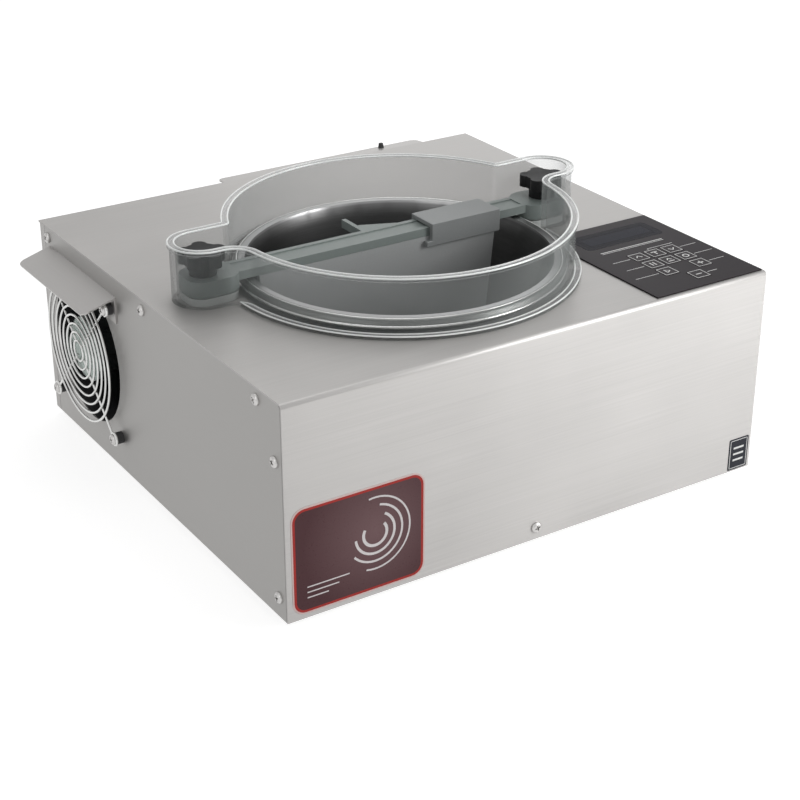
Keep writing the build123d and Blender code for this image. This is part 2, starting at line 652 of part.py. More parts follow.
# Wire guard: rings in front, four legs on the diagonals behind them and an eyelet at the end of each leg
LEG_END_R = FAN_CORNER_R - (EYELET_R + SCREW_R) / 2
with BuildPart() as fan_guard:
    with BuildSketch(fan_plane(GUARD_X - 2 * WIRE + WIRE_BITE)):
        for ring in reversed(range(GUARD_RINGS)):
            ring_r = GUARD_INNER_R + ring * RING_PITCH
            Circle(ring_r + WIRE / 2)
            Circle(ring_r - WIRE / 2, mode=Mode.SUBTRACT)
    extrude(amount=WIRE)
    with BuildSketch(fan_plane(GUARD_X - WIRE)):
        with PolarLocations((GUARD_INNER_R + LEG_END_R) / 2, 4, start_angle=45):
            Rectangle(LEG_END_R - GUARD_INNER_R, WIRE)
        with PolarLocations(FAN_CORNER_R, 4, start_angle=45):
            Circle(EYELET_R)
            Circle(SCREW_R + HOLE_FIT, mode=Mode.SUBTRACT)
    extrude(amount=WIRE)
finish(fan_guard, "fan_guard")

with BuildPart() as fan_spacers:
    for y, z, row in FAN_CORNERS:
        seat_x = LEFT - SHEET if row > 0 else LEFT
        with BuildSketch(left_plane(y, z, seat_x)):
            Circle(SPACER_R)
            Circle(SCREW_R + HOLE_FIT, mode=Mode.SUBTRACT)
        extrude(amount=seat_x - GUARD_X)
finish(fan_spacers, "fan_spacers")

with BuildPart() as fan_screws:
    for y, z, _ in FAN_CORNERS:
        screw(left_plane(y, z, GUARD_X - WIRE), WIRE + SPACER_H + 2 * SHEET + FAN_FLANGE + SCREW_TAIL)
finish(fan_screws, "fan_screws")

# Bent hood over the fan, clamped by the two upper fan screws
with BuildPart() as fan_hood:
    with BuildSketch(Plane(origin=(LEFT, FAN_Y - HOOD_W / 2, HOOD_Z), x_dir=(-1, 0, 0), z_dir=(0, 1, 0))):
        with BuildLine():
            hood_outline(HOOD_FLAP, HOOD_TILT, HOOD_FLANGE)
        make_face()
    extrude(amount=HOOD_W)
    thin_edges = fan_hood.edges().filter_by(lambda edge: abs(edge.length - SHEET) < SHEET / 100)
    fillet(thin_edges.sort_by(Axis.X)[:2], HOOD_CORNER)
    drill([left_plane(FAN_Y, FAN_Z, LEFT - SHEET)], SHEET, FAN_BORE_R)
    drill([left_plane(y, z, LEFT - SHEET) for y, z, row in FAN_CORNERS if row > 0], SHEET)
finish(fan_hood, "fan_hood")

# Bent hood over the rear vents, with a small rubber bumper near its edge
with BuildPart() as rear_hood:
    with BuildSketch(Plane(origin=(REAR_HOOD_X, REAR, REAR_HOOD_Z), x_dir=(0, 1, 0), z_dir=(1, 0, 0))):
        with BuildLine():
            hood_outline(REAR_HOOD_FLAP, REAR_HOOD_TILT, REAR_HOOD_FLANGE)
        make_face()
    extrude(amount=REAR_HOOD_W)
    thin_edges = rear_hood.edges().filter_by(lambda edge: abs(edge.length - SHEET) < SHEET / 100)
    fillet(thin_edges.sort_by(Axis.Y)[-2:], HOOD_CORNER)
    drill(HOOD_SCREWS, SHEET)
finish(rear_hood, "rear_hood")

with BuildPart() as rear_hood_screws:
    for seat in HOOD_SCREWS:
        screw(seat, 3 * SHEET + SCREW_TAIL)
finish(rear_hood_screws, "rear_hood_screws")

REAR_SLOPE = math.radians(REAR_HOOD_TILT)
BUMPER_RUN = REAR_HOOD_FLAP - BUMPER_IN
BUMPER_SEAT = Plane(
    origin=(
        REAR_HOOD_X + REAR_HOOD_W - BUMPER_FROM_END,
        REAR + BUMPER_RUN * math.cos(REAR_SLOPE),
        REAR_HOOD_Z - BUMPER_RUN * math.sin(REAR_SLOPE),
    ),
    x_dir=(1, 0, 0),
    z_dir=(0, math.sin(REAR_SLOPE), math.cos(REAR_SLOPE)),
)
with BuildPart() as hood_bumper:
    rod(BUMPER_SEAT, BUMPER_R, BUMPER_H, tip=BUMPER_TIP_R)
finish(hood_bumper, "hood_bumper")

# Control panel overlay, cut back around the foot of the skirt
with BuildPart() as control_overlay:
    with BuildSketch(level_plane(0, 0, DECK)):
        with Locations((RIGHT - OVERLAY_SIDE - OVERLAY_W / 2, FRONT + OVERLAY_FRONT + OVERLAY_L / 2)):
            Rectangle(OVERLAY_W, OVERLAY_L)
        with Locations((BOWL_X, BOWL_Y)):
            Circle(SKIRT_FOOT_R + OVERLAY_GAP, mode=Mode.SUBTRACT)
        with Locations((WINDOW_X, WINDOW_Y)):
            RectangleRounded(WINDOW_W, WINDOW_L, WINDOW_CORNER, mode=Mode.SUBTRACT)
        with Locations(KEY_SPOTS):
            Rectangle(KEY_SIZE + 2 * KEY_SLACK, KEY_SIZE + 2 * KEY_SLACK, mode=Mode.SUBTRACT)
    extrude(amount=OVERLAY_T)
finish(control_overlay, "control_overlay")

with BuildPart() as display_window:
    with BuildSketch(level_plane(WINDOW_X, WINDOW_Y, DECK)):
        RectangleRounded(WINDOW_W - 2 * HOLE_FIT, WINDOW_L - 2 * HOLE_FIT, WINDOW_CORNER - HOLE_FIT)
    extrude(amount=OVERLAY_T)
finish(display_window, "display_window")

# Nine keys: a flat cap in the overlay on a stem that reaches a switch on the board
for number, (x, y) in enumerate(KEY_SPOTS, start=1):
    with BuildPart() as key:
        with BuildSketch(level_plane(x, y, DECK + KEY_LIFT)):
            Rectangle(KEY_SIZE, KEY_SIZE)
        extrude(amount=KEY_T)
        rod(level_plane(x, y, DECK + KEY_LIFT), KEY_STEM_R, -KEY_STEM_L)
    finish(key, f"key_{number}")

# Control board under the deck, with its display and key switches
BOARD_X = RIGHT - BOARD_FROM_RIGHT
BOARD_Y = OVERLAY_REAR - OVERLAY_L / 2 + BOARD_BACK
BOARD_L = OVERLAY_L + BOARD_LONGER
with BuildPart() as control_board:
    with BuildSketch(level_plane(BOARD_X, BOARD_Y, BOARD_Z)):
        Rectangle(BOARD_W, BOARD_L)
    extrude(amount=BOARD_T)
finish(control_board, "control_board")

with BuildPart() as board_spacers:
    with BuildSketch(level_plane(BOARD_X, BOARD_Y, BOARD_Z + BOARD_T)):
        with GridLocations(BOARD_W - 2 * BOARD_SPACER_EDGE, BOARD_L - 2 * BOARD_SPACER_EDGE, 2, 2):
            Circle(BOARD_SPACER_R)
    extrude(amount=BOARD_DROP)
finish(board_spacers, "board_spacers")

with BuildPart() as display_module:
    with BuildSketch(level_plane(WINDOW_X, WINDOW_Y, BOARD_Z + BOARD_T)):
        Rectangle(DISPLAY_W, DISPLAY_L)
    extrude(amount=BOARD_DROP)
finish(display_module, "display_module")

SWITCH_TOP = DECK + KEY_LIFT - KEY_STEM_L - KEY_TRAVEL - SEAT_GAP
with BuildPart() as key_switches:
    for x, y in KEY_SPOTS:
        half = SWITCH_SIZE / 2
        block(x - half, x + half, y - half, y + half, BOARD_Z + BOARD_T, SWITCH_TOP)
finish(key_switches, "key_switches")


def bowl_plane():
    """Upright plane through the bowl axis, with local x outwards and y up."""
    return Plane(origin=(BOWL_X, BOWL_Y, 0), x_dir=(1, 0, 0), z_dir=(0, -1, 0))


# Bowl: a spun shell with a flat rim and a dimple that takes the spigot of the turntable
with BuildPart() as bowl:
    with BuildSketch(bowl_plane()):
        with BuildLine():
            Polyline((0, BOWL_Z + DIMPLE_H), (DIMPLE_R, BOWL_Z + DIMPLE_H), (DIMPLE_R, BOWL_Z))
            FilletPolyline(
                (DIMPLE_R, BOWL_Z),
                (BOWL_BASE_R, BOWL_Z),
                (BOWL_WALL_R, BOWL_TOP - BOWL_RIM_T),
                radius=BOWL_CORNER,
            )
            Polyline(
                (BOWL_WALL_R, BOWL_TOP - BOWL_RIM_T),
                (BOWL_RIM_R, BOWL_TOP - BOWL_RIM_T),
                (BOWL_RIM_R, BOWL_TOP),
                (BOWL_WALL_R - BOWL_T, BOWL_TOP),
            )
            FilletPolyline(
                (BOWL_WALL_R - BOWL_T, BOWL_TOP),
                (BOWL_BASE_R - BOWL_T, BOWL_Z + BOWL_T),
                (DIMPLE_R + BOWL_T, BOWL_Z + BOWL_T),
                radius=BOWL_CORNER - BOWL_T,
            )
            Polyline(
                (DIMPLE_R + BOWL_T, BOWL_Z + BOWL_T),
                (DIMPLE_R + BOWL_T, BOWL_Z + DIMPLE_H + BOWL_T),
                (0, BOWL_Z + DIMPLE_H + BOWL_T),
                (0, BOWL_Z + DIMPLE_H),
            )
        make_face()
    revolve(axis=BOWL_AXIS)
finish(bowl, "bowl")

# Turntable on the drive shaft
with BuildPart() as turntable:
    rod(level_plane(BOWL_X, BOWL_Y, TABLE_Z), TABLE_R, TABLE_T)
    rod(level_plane(BOWL_X, BOWL_Y, BOWL_Z), DIMPLE_R - HOLE_FIT, DIMPLE_H - SEAT_GAP)
    rod(level_plane(BOWL_X, BOWL_Y, TABLE_Z), TABLE_HUB_R, -TABLE_HUB_H)
    drill([level_plane(BOWL_X, BOWL_Y, SHAFT_TOP)], SHAFT_IN_TABLE, SHAFT_R + HOLE_FIT)
finish(turntable, "turntable")

with BuildPart() as drive_shaft:
    rod(level_plane(BOWL_X, BOWL_Y, SHAFT_Z), SHAFT_R, SHAFT_TOP - SHAFT_Z)
finish(drive_shaft, "drive_shaft")

# Gear motor under its hat shaped bracket
with BuildPart() as drive_motor:
    rod(level_plane(BOWL_X, BOWL_Y, MOTOR_Z), MOTOR_R, MOTOR_H)
    rod(level_plane(BOWL_X, BOWL_Y, MOTOR_TOP), MOTOR_BOSS_R, MOTOR_BOSS_H)
    boss_top = level_plane(BOWL_X, BOWL_Y, MOTOR_TOP + MOTOR_BOSS_H)
    drill([boss_top], SHAFT_IN_MOTOR + SEAT_GAP, SHAFT_R + HOLE_FIT)
    drill([level_plane(x, y, MOTOR_TOP) for x, y in MOTOR_PLACES], SCREW_TAIL)
finish(drive_motor, "drive_motor")

with BuildPart() as motor_bracket:
    with BuildSketch(Plane.XZ.offset(-BOWL_Y - BRACKET_D / 2)):
        with BuildLine():
            Polyline(
                (BOWL_X - BRACKET_HALF - BRACKET_FOOT, FLOOR),
                (BOWL_X - BRACKET_HALF - BRACKET_FOOT, FLOOR + BRACKET_T),
                (BOWL_X - BRACKET_HALF, FLOOR + BRACKET_T),
                (BOWL_X - BRACKET_HALF, BRACKET_TOP),
                (BOWL_X + BRACKET_HALF, BRACKET_TOP),
                (BOWL_X + BRACKET_HALF, FLOOR + BRACKET_T),
                (BOWL_X + BRACKET_HALF + BRACKET_FOOT, FLOOR + BRACKET_T),
                (BOWL_X + BRACKET_HALF + BRACKET_FOOT, FLOOR),
                (BOWL_X + BRACKET_HALF - BRACKET_T, FLOOR),
                (BOWL_X + BRACKET_HALF - BRACKET_T, MOTOR_TOP),
                (BOWL_X - BRACKET_HALF + BRACKET_T, MOTOR_TOP),
                (BOWL_X - BRACKET_HALF + BRACKET_T, FLOOR),
                close=True,
            )
        make_face()
    extrude(amount=BRACKET_D)
    drill([level_plane(BOWL_X, BOWL_Y, BRACKET_TOP)], BRACKET_T, MOTOR_BOSS_R + HOLE_FIT)
    drill([level_plane(x, y, BRACKET_TOP) for x, y in MOTOR_PLACES], BRACKET_T)
    drill([level_plane(x, y, FLOOR + BRACKET_T) for x, y in BRACKET_PLACES], BRACKET_T)
finish(motor_bracket, "motor_bracket")

with BuildPart() as bracket_screws:
    for x, y in BRACKET_PLACES:
        screw(level_plane(x, y, FLOOR + BRACKET_T), BRACKET_T + SHEET)
    for x, y in MOTOR_PLACES:
        screw(level_plane(x, y, BRACKET_TOP), BRACKET_T + SCREW_TAIL - SEAT_GAP)
finish(bracket_screws, "bracket_screws")

# Ring heater under the bowl on its posts
with BuildPart() as heater:
    with BuildSketch(level_plane(BOWL_X, BOWL_Y, HEATER_Z)):
        Circle(HEATER_OUT_R)
        Circle(HEATER_IN_R, mode=Mode.SUBTRACT)
    extrude(amount=HEATER_T)
finish(heater, "heater")

with BuildPart() as heater_posts:
    with BuildSketch(level_plane(BOWL_X, BOWL_Y, FLOOR)):
        with PolarLocations((HEATER_IN_R + HEATER_OUT_R) / 2, HEATER_POSTS, start_angle=45):
            Circle(HEATER_POST_R)
    extrude(amount=HEATER_Z - FLOOR)
finish(heater_posts, "heater_posts")

# Clear skirt with a foot around the bowl opening and a bead under its rim
with BuildPart() as skirt:
    with BuildSketch(level_plane(0, 0, DECK)) as skirt_plan:
        with Locations((BOWL_X, BOWL_Y)):
            Circle(SKIRT_R)
        with Locations((BOWL_X, BRIDGE_Y)):
            SlotCenterToCenter(2 * KNOB_SPAN, 2 * LOBE_R)
        corners = skirt_plan.vertices().filter_by(lambda v: abs(v.X - BOWL_X) < SKIRT_R)
        fillet(corners.filter_by(lambda v: v.Y < BRIDGE_Y), LOBE_FRONT_BLEND)
        fillet(corners.filter_by(lambda v: v.Y > BRIDGE_Y), LOBE_REAR_BLEND)
    extrude(amount=SKIRT_H)
    with BuildSketch(level_plane(0, 0, DECK + SKIRT_H - SKIRT_BEAD_H)):
        add(skirt_plan.sketch_local)
        offset(amount=SKIRT_BEAD)
    extrude(amount=SKIRT_BEAD_H)
    with BuildSketch(level_plane(BOWL_X, BOWL_Y, DECK)):
        Circle(SKIRT_FOOT_R)
    extrude(amount=SKIRT_FOOT_T)
    with BuildSketch(level_plane(0, 0, DECK)):
        add(skirt_plan.sketch_local)
        offset(amount=-SKIRT_WALL)
    extrude(amount=SKIRT_H, mode=Mode.SUBTRACT)
finish(skirt, "skirt")

# Posts on the deck that carry the ends of the bridge
PAD_L = PAD_OUT + PAD_IN
for name, (x, side) in zip(("bridge_post_left", "bridge_post_right"), POST_PLACES):
    with BuildPart() as post:
        for inset, height in ((POST_IN, POST_H - NECK_H), (NECK_IN, POST_H)):
            with BuildSketch(level_plane(x + side * (PAD_OUT - PAD_IN) / 2, BRIDGE_Y, DECK)):
                RectangleRounded(PAD_L - 2 * inset, PAD_W - 2 * inset, PAD_CORNER - inset)
            extrude(amount=height)
        rod(level_plane(x, BRIDGE_Y, DECK), POST_BUSH_R, -POST_BUSH_H)
        drill([level_plane(x, BRIDGE_Y, PAD_Z)], POST_H + POST_BUSH_H, STUD_R + STUD_SLACK)
    finish(post, name)

# Bridge: a bar with a shallow channel, a thick pad at each end and a finger behind it
with BuildPart() as bridge:
    for x, side in POST_PLACES:
        with BuildSketch(level_plane(x + side * (PAD_OUT - PAD_IN) / 2, BRIDGE_Y, PAD_Z)):
            RectangleRounded(PAD_L, PAD_W, PAD_CORNER)
        extrude(amount=PAD_T)
    with BuildSketch(level_plane(BOWL_X, BRIDGE_Y, BAR_Z)):
        Rectangle(2 * KNOB_SPAN, BAR_W)
        with Locations((FINGER_AT, BAR_W / 2 + FINGER_L / 2)):
            Rectangle(FINGER_W, FINGER_L)
        with Locations((FINGER_AT, BAR_W / 2)):
            Polygon((0, 0), (GUSSET_L, 0), (FINGER_W, GUSSET_D), (0, GUSSET_D), align=None)
    extrude(amount=BAR_T)
    with BuildSketch(level_plane(BOWL_X, BRIDGE_Y, BAR_TOP)):
        Rectangle(2 * (KNOB_SPAN - PAD_IN), CHANNEL_W)
    extrude(amount=-CHANNEL_DEPTH, mode=Mode.SUBTRACT)
    drill([level_plane(x, BRIDGE_Y, BAR_TOP) for x, _ in POST_PLACES], PAD_T, STUD_R + STUD_SLACK)
    drill([level_plane(BOWL_X + PROBE_AT, BRIDGE_Y, BAR_Z + PROBE_SOCKET)], PROBE_SOCKET, PROBE_R + HOLE_FIT)
finish(bridge, "bridge")

# Star knobs with their studs
KNOB_Z = BAR_TOP + SEAT_GAP
for name, (x, _) in zip(("knob_left", "knob_right"), POST_PLACES):
    with BuildPart() as knob:
        rod(level_plane(x, BRIDGE_Y, KNOB_Z), KNOB_HUB_R, KNOB_HUB_H)
        with BuildSketch(level_plane(x, BRIDGE_Y, KNOB_Z + KNOB_HUB_H)):
            Circle(KNOB_CORE_R)
            with PolarLocations(KNOB_STAR_R - KNOB_LOBE_R, KNOB_LOBES):
                Circle(KNOB_LOBE_R)
        extrude(amount=KNOB_STAR_H)
        rod(level_plane(x, BRIDGE_Y, KNOB_Z), STUD_R, -(SEAT_GAP + PAD_T + POST_H + POST_BUSH_H))
    finish(knob, name)

# Clip that slides over the bar, with a long front leg that covers the top of the baffle
BAR_FRONT = BRIDGE_Y - BAR_W / 2
BAR_REAR = BRIDGE_Y + BAR_W / 2
CLIP_X0 = BOWL_X + CLIP_AT
CLIP_X1 = BOWL_X + KNOB_SPAN - PAD_IN - CLIP_END_GAP
CLIP_Y0 = BAR_FRONT - CLIP_FIT - CLIP_FRONT_T
CLIP_Y1 = BAR_REAR + CLIP_FIT + CLIP_REAR_T
CLIP_Z = BAR_Z - CLIP_DROP
CLIP_UNDER = BAR_TOP + CLIP_FIT
with BuildPart() as baffle_clip:
    block(CLIP_X0, CLIP_X1, CLIP_Y0, CLIP_Y1, BAR_Z, CLIP_UNDER + CLIP_TOP_T)
    block(CLIP_X0, CLIP_X1, CLIP_Y0, CLIP_Y0 + CLIP_FRONT_T, CLIP_Z, BAR_Z)
    block(CLIP_X0, CLIP_X1, BAR_FRONT - CLIP_FIT, BAR_REAR + CLIP_FIT, BAR_Z, CLIP_UNDER, mode=Mode.SUBTRACT)
    block(CLIP_X0 - CLIP_NUB, CLIP_X0, CLIP_Y0, CLIP_Y0 + CLIP_FRONT_T, CLIP_Z, CLIP_Z + CLIP_NUB)
finish(baffle_clip, "baffle_clip")

# Baffle: a plate under the bar that follows the bowl wall on the left and leaves a way round on the right
BOWL_FLOOR = BOWL_Z + BOWL_T
BAFFLE_LOW = BOWL_FLOOR + BAFFLE_GAP
BAFFLE_BACK = BRIDGE_BACK - BAR_W / 2 + BAFFLE_T
WALL_IN_TOP = math.sqrt((BOWL_WALL_R - BOWL_T) ** 2 - BAFFLE_BACK**2) - BAFFLE_GAP
WALL_IN_LOW = math.sqrt((BOWL_BASE_R - BOWL_T) ** 2 - BAFFLE_BACK**2) - BAFFLE_GAP
BAFFLE_TOP_X = BOWL_WALL_R - BAFFLE_TOP_IN
BAFFLE_LOW_X = BOWL_BASE_R - BAFFLE_LOW_IN
NOTCH_R = DIMPLE_R + BOWL_T + BAFFLE_GAP
NOTCH_TOP = BOWL_FLOOR + DIMPLE_H + BAFFLE_GAP
with BuildPart() as baffle:
    with BuildSketch(Plane(origin=(BOWL_X, BAR_FRONT, 0), x_dir=(1, 0, 0), z_dir=(0, -1, 0))):
        with BuildLine():
            Polyline((BAFFLE_LOW_X, BAFFLE_LOW), (BAFFLE_TOP_X, BAFFLE_TOP), (-WALL_IN_TOP, BAFFLE_TOP))
            Line((-WALL_IN_TOP, BAFFLE_TOP), (-WALL_IN_TOP, BOWL_TOP))
            FilletPolyline(
                (-WALL_IN_TOP, BOWL_TOP),
                (-WALL_IN_LOW, BAFFLE_LOW),
                (-NOTCH_R, BAFFLE_LOW),
                radius=BOWL_CORNER,
            )
            Polyline(
                (-NOTCH_R, BAFFLE_LOW),
                (-NOTCH_R, NOTCH_TOP),
                (NOTCH_R, NOTCH_TOP),
                (NOTCH_R, BAFFLE_LOW),
                (BAFFLE_LOW_X, BAFFLE_LOW),
            )
        make_face()
    extrude(amount=-BAFFLE_T)
finish(baffle, "baffle")

# Temperature probe that hangs from the bar behind the baffle
with BuildPart() as temperature_probe:
    rod(
        level_plane(BOWL_X + PROBE_AT, BRIDGE_Y, BAR_Z + PROBE_SOCKET - SEAT_GAP),
        PROBE_R,
        -(BAR_Z + PROBE_SOCKET - SEAT_GAP - BOWL_FLOOR - PROBE_FLOOR_GAP),
    )
finish(temperature_probe, "temperature_probe")

# Mains inlet with three pins in its socket
INLET_SEAT = rear_plane(LEFT + INLET_FROM_LEFT, MAINS_Z)
with BuildPart() as power_inlet:
    with BuildSketch(INLET_SEAT):
        RectangleRounded(INLET_W, INLET_H, INLET_LIP)
        with GridLocations(INLET_SCREW_PITCH, 0, 2, 1):
            Circle(SCREW_R + HOLE_FIT, mode=Mode.SUBTRACT)
    extrude(amount=INLET_LIP)
    with BuildSketch(INLET_SEAT):
        Rectangle(INLET_BODY_W, INLET_BODY_H)
    extrude(amount=-INLET_BODY_D)
    with BuildSketch(rear_plane(LEFT + INLET_FROM_LEFT, MAINS_Z, REAR + INLET_LIP)):
        Rectangle(SOCKET_W, SOCKET_H)
    extrude(amount=-SOCKET_D, mode=Mode.SUBTRACT)
    with BuildSketch(rear_plane(LEFT + INLET_FROM_LEFT, MAINS_Z, REAR + INLET_LIP - SOCKET_D)):
        with Locations((-PIN_PITCH, -PIN_W / 2), (0, PIN_W), (PIN_PITCH, -PIN_W / 2)):
            Rectangle(PIN_W, PIN_H)
    extrude(amount=PIN_L)
finish(power_inlet, "power_inlet")

with BuildPart() as inlet_screws:
    for side in (-1, 1):
        place_x = LEFT + INLET_FROM_LEFT + side * INLET_SCREW_PITCH / 2
        screw(rear_plane(place_x, MAINS_Z, REAR + INLET_LIP), INLET_LIP + SHEET + SCREW_TAIL)
finish(inlet_screws, "inlet_screws")

# Rocker switch
ROCKER_X = LEFT + ROCKER_FROM_LEFT
ROCKER_Y = REAR + BEZEL_T - ROCKER_PIVOT_IN
ROCKER_LEAN = math.radians(ROCKER_TILT)
ROCKER_PLANE = Plane(
    origin=(ROCKER_X - ROCKER_W / 2, ROCKER_Y, MAINS_Z),
    x_dir=(0, math.cos(ROCKER_LEAN), math.sin(ROCKER_LEAN)),
    z_dir=(1, 0, 0),
)
with BuildPart() as switch_housing:
    with BuildSketch(rear_plane(ROCKER_X, MAINS_Z)):
        RectangleRounded(BEZEL_W, BEZEL_H, BEZEL_T)
    extrude(amount=BEZEL_T)
    with BuildSketch(rear_plane(ROCKER_X, MAINS_Z)):
        Rectangle(HOUSING_W, HOUSING_H)
    extrude(amount=-HOUSING_D)
    with BuildSketch(rear_plane(ROCKER_X, MAINS_Z, REAR + BEZEL_T)):
        Rectangle(ROCKER_W + 2 * ROCKER_GAP, 2 * (ROCKER_R + ROCKER_GAP))
    extrude(amount=-(ROCKER_PIVOT_IN + ROCKER_R + ROCKER_GAP), mode=Mode.SUBTRACT)
    pivot_plane = Plane(
        origin=(ROCKER_X - ROCKER_W / 2 - ROCKER_GAP, ROCKER_Y, MAINS_Z), x_dir=(0, 1, 0), z_dir=(1, 0, 0)
    )
    rod(pivot_plane, ROCKER_PIN_R, ROCKER_W + 2 * ROCKER_GAP)
finish(switch_housing, "switch_housing")

with BuildPart() as switch_rocker:
    with BuildSketch(ROCKER_PLANE):
        with BuildLine():
            Polyline(
                (ROCKER_RISE, ROCKER_TIP),
                (ROCKER_DIP, 0),
                (ROCKER_RISE, -ROCKER_TIP),
                (-ROCKER_RISE, 0),
                close=True,
            )
        make_face()
        Circle(ROCKER_PIN_R + HOLE_FIT, mode=Mode.SUBTRACT)
    extrude(amount=ROCKER_W)
finish(switch_rocker, "switch_rocker")

# Power supply on spacers
SUPPLY_X = RIGHT - SUPPLY_FROM_RIGHT
SUPPLY_Y = REAR - SUPPLY_FROM_REAR
with BuildPart() as power_supply:
    with BuildSketch(level_plane(SUPPLY_X, SUPPLY_Y, FLOOR + SUPPLY_SPACER_H)):
        Rectangle(SUPPLY_W, SUPPLY_D)
    extrude(amount=SUPPLY_H)
    chamfer(power_supply.faces().sort_by(Axis.Z)[-1].edges(), SUPPLY_EDGE)
finish(power_supply, "power_supply")

with BuildPart() as supply_spacers:
    with BuildSketch(level_plane(SUPPLY_X, SUPPLY_Y, FLOOR)):
        with GridLocations(SUPPLY_W - 2 * SUPPLY_SPACER_EDGE, SUPPLY_D - 2 * SUPPLY_SPACER_EDGE, 2, 2):
            Circle(SUPPLY_SPACER_R)
    extrude(amount=SUPPLY_SPACER_H)
finish(supply_spacers, "supply_spacers")
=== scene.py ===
"""Looks of the chocolate tempering machine: materials, fine pieces, light and camera."""
import math

import bpy
from mathutils import Matrix, Vector


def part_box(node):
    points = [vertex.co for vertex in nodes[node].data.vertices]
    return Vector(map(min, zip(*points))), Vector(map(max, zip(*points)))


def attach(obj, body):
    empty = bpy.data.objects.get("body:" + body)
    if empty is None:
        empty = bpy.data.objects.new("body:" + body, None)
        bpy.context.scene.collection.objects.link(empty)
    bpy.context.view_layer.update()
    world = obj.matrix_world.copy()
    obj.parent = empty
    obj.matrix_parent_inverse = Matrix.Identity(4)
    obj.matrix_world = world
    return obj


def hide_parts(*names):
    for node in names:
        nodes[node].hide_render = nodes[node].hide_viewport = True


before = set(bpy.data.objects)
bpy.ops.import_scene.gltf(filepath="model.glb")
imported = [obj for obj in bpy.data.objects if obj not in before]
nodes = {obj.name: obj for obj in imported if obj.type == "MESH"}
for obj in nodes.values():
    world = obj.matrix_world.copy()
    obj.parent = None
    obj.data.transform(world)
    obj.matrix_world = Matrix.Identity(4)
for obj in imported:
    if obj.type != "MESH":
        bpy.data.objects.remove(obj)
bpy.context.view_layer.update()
scene = bpy.context.scene

MM = 0.001
X, Y, Z = Vector((1, 0, 0)), Vector((0, 1, 0)), Vector((0, 0, 1))
case_low, case_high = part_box("wrap_cover")
LEFT, FRONT, BOTTOM = case_low
RIGHT, REAR = case_high.x, case_high.y


# Materials
NOISE_LOW, NOISE_HIGH = 0.25, 0.75
TINT_LOW, TINT_HIGH = 0.3, 0.7
GRAIN_SHARE, BROAD_SHARE = 0.6, 0.4
SMUDGE = 9.0
RELIEF_DEPTH = 0.05 * MM
BRUSHED = 0.65
PRINT_SHINE = 0.15


def new_material(name):
    """Empty node material with one shader on its output."""
    made = bpy.data.materials.new(name)
    made.use_nodes = True
    made.node_tree.nodes.clear()
    out = made.node_tree.nodes.new("ShaderNodeOutputMaterial")
    shader = made.node_tree.nodes.new("ShaderNodeBsdfPrincipled")
    made.node_tree.links.new(shader.outputs[0], out.inputs["Surface"])
    return made, made.node_tree, shader


def noise(tree, stretch, detail=4.0, rough=0.6):
    """Noise over the object's own coordinates, stretched along its axes."""
    place = tree.nodes.new("ShaderNodeTexCoord")
    mapping = tree.nodes.new("ShaderNodeMapping")
    mapping.inputs["Scale"].default_value = stretch
    texture = tree.nodes.new("ShaderNodeTexNoise")
    texture.inputs["Scale"].default_value = 1.0
    texture.inputs["Detail"].default_value = detail
    texture.inputs["Roughness"].default_value = rough
    tree.links.new(place.outputs["Object"], mapping.inputs["Vector"])
    tree.links.new(mapping.outputs["Vector"], texture.inputs["Vector"])
    return texture.outputs["Fac"]


def spread(tree, source, low, high):
    """Noise value mapped to a range."""
    mapped = tree.nodes.new("ShaderNodeMapRange")
    mapped.inputs["From Min"].default_value = NOISE_LOW
    mapped.inputs["From Max"].default_value = NOISE_HIGH
    mapped.inputs["To Min"].default_value = low
    mapped.inputs["To Max"].default_value = high
    tree.links.new(source, mapped.inputs["Value"])
    return mapped.outputs["Result"]


def ramp_of(tree, source, stops):
    """Colour ramp with the stated places and tints."""
    ramp = tree.nodes.new("ShaderNodeValToRGB")
    elements = ramp.color_ramp.elements
    while len(elements) < len(stops):
        elements.new(1.0)
    for element, (place, tint) in zip(elements, stops):
        element.position = place
        element.color = (*tint, 1) if isinstance(tint, tuple) else (tint, tint, tint, 1)
    tree.links.new(source, ramp.inputs["Fac"])
    return ramp.outputs["Color"]


def bump(tree, shader, source, strength, distance):
    """Relief from a noise value."""
    relief = tree.nodes.new("ShaderNodeBump")
    relief.inputs["Strength"].default_value = strength
    relief.inputs["Distance"].default_value = distance
    tree.links.new(source, relief.inputs["Height"])
    tree.links.new(relief.outputs["Normal"], shader.inputs["Normal"])


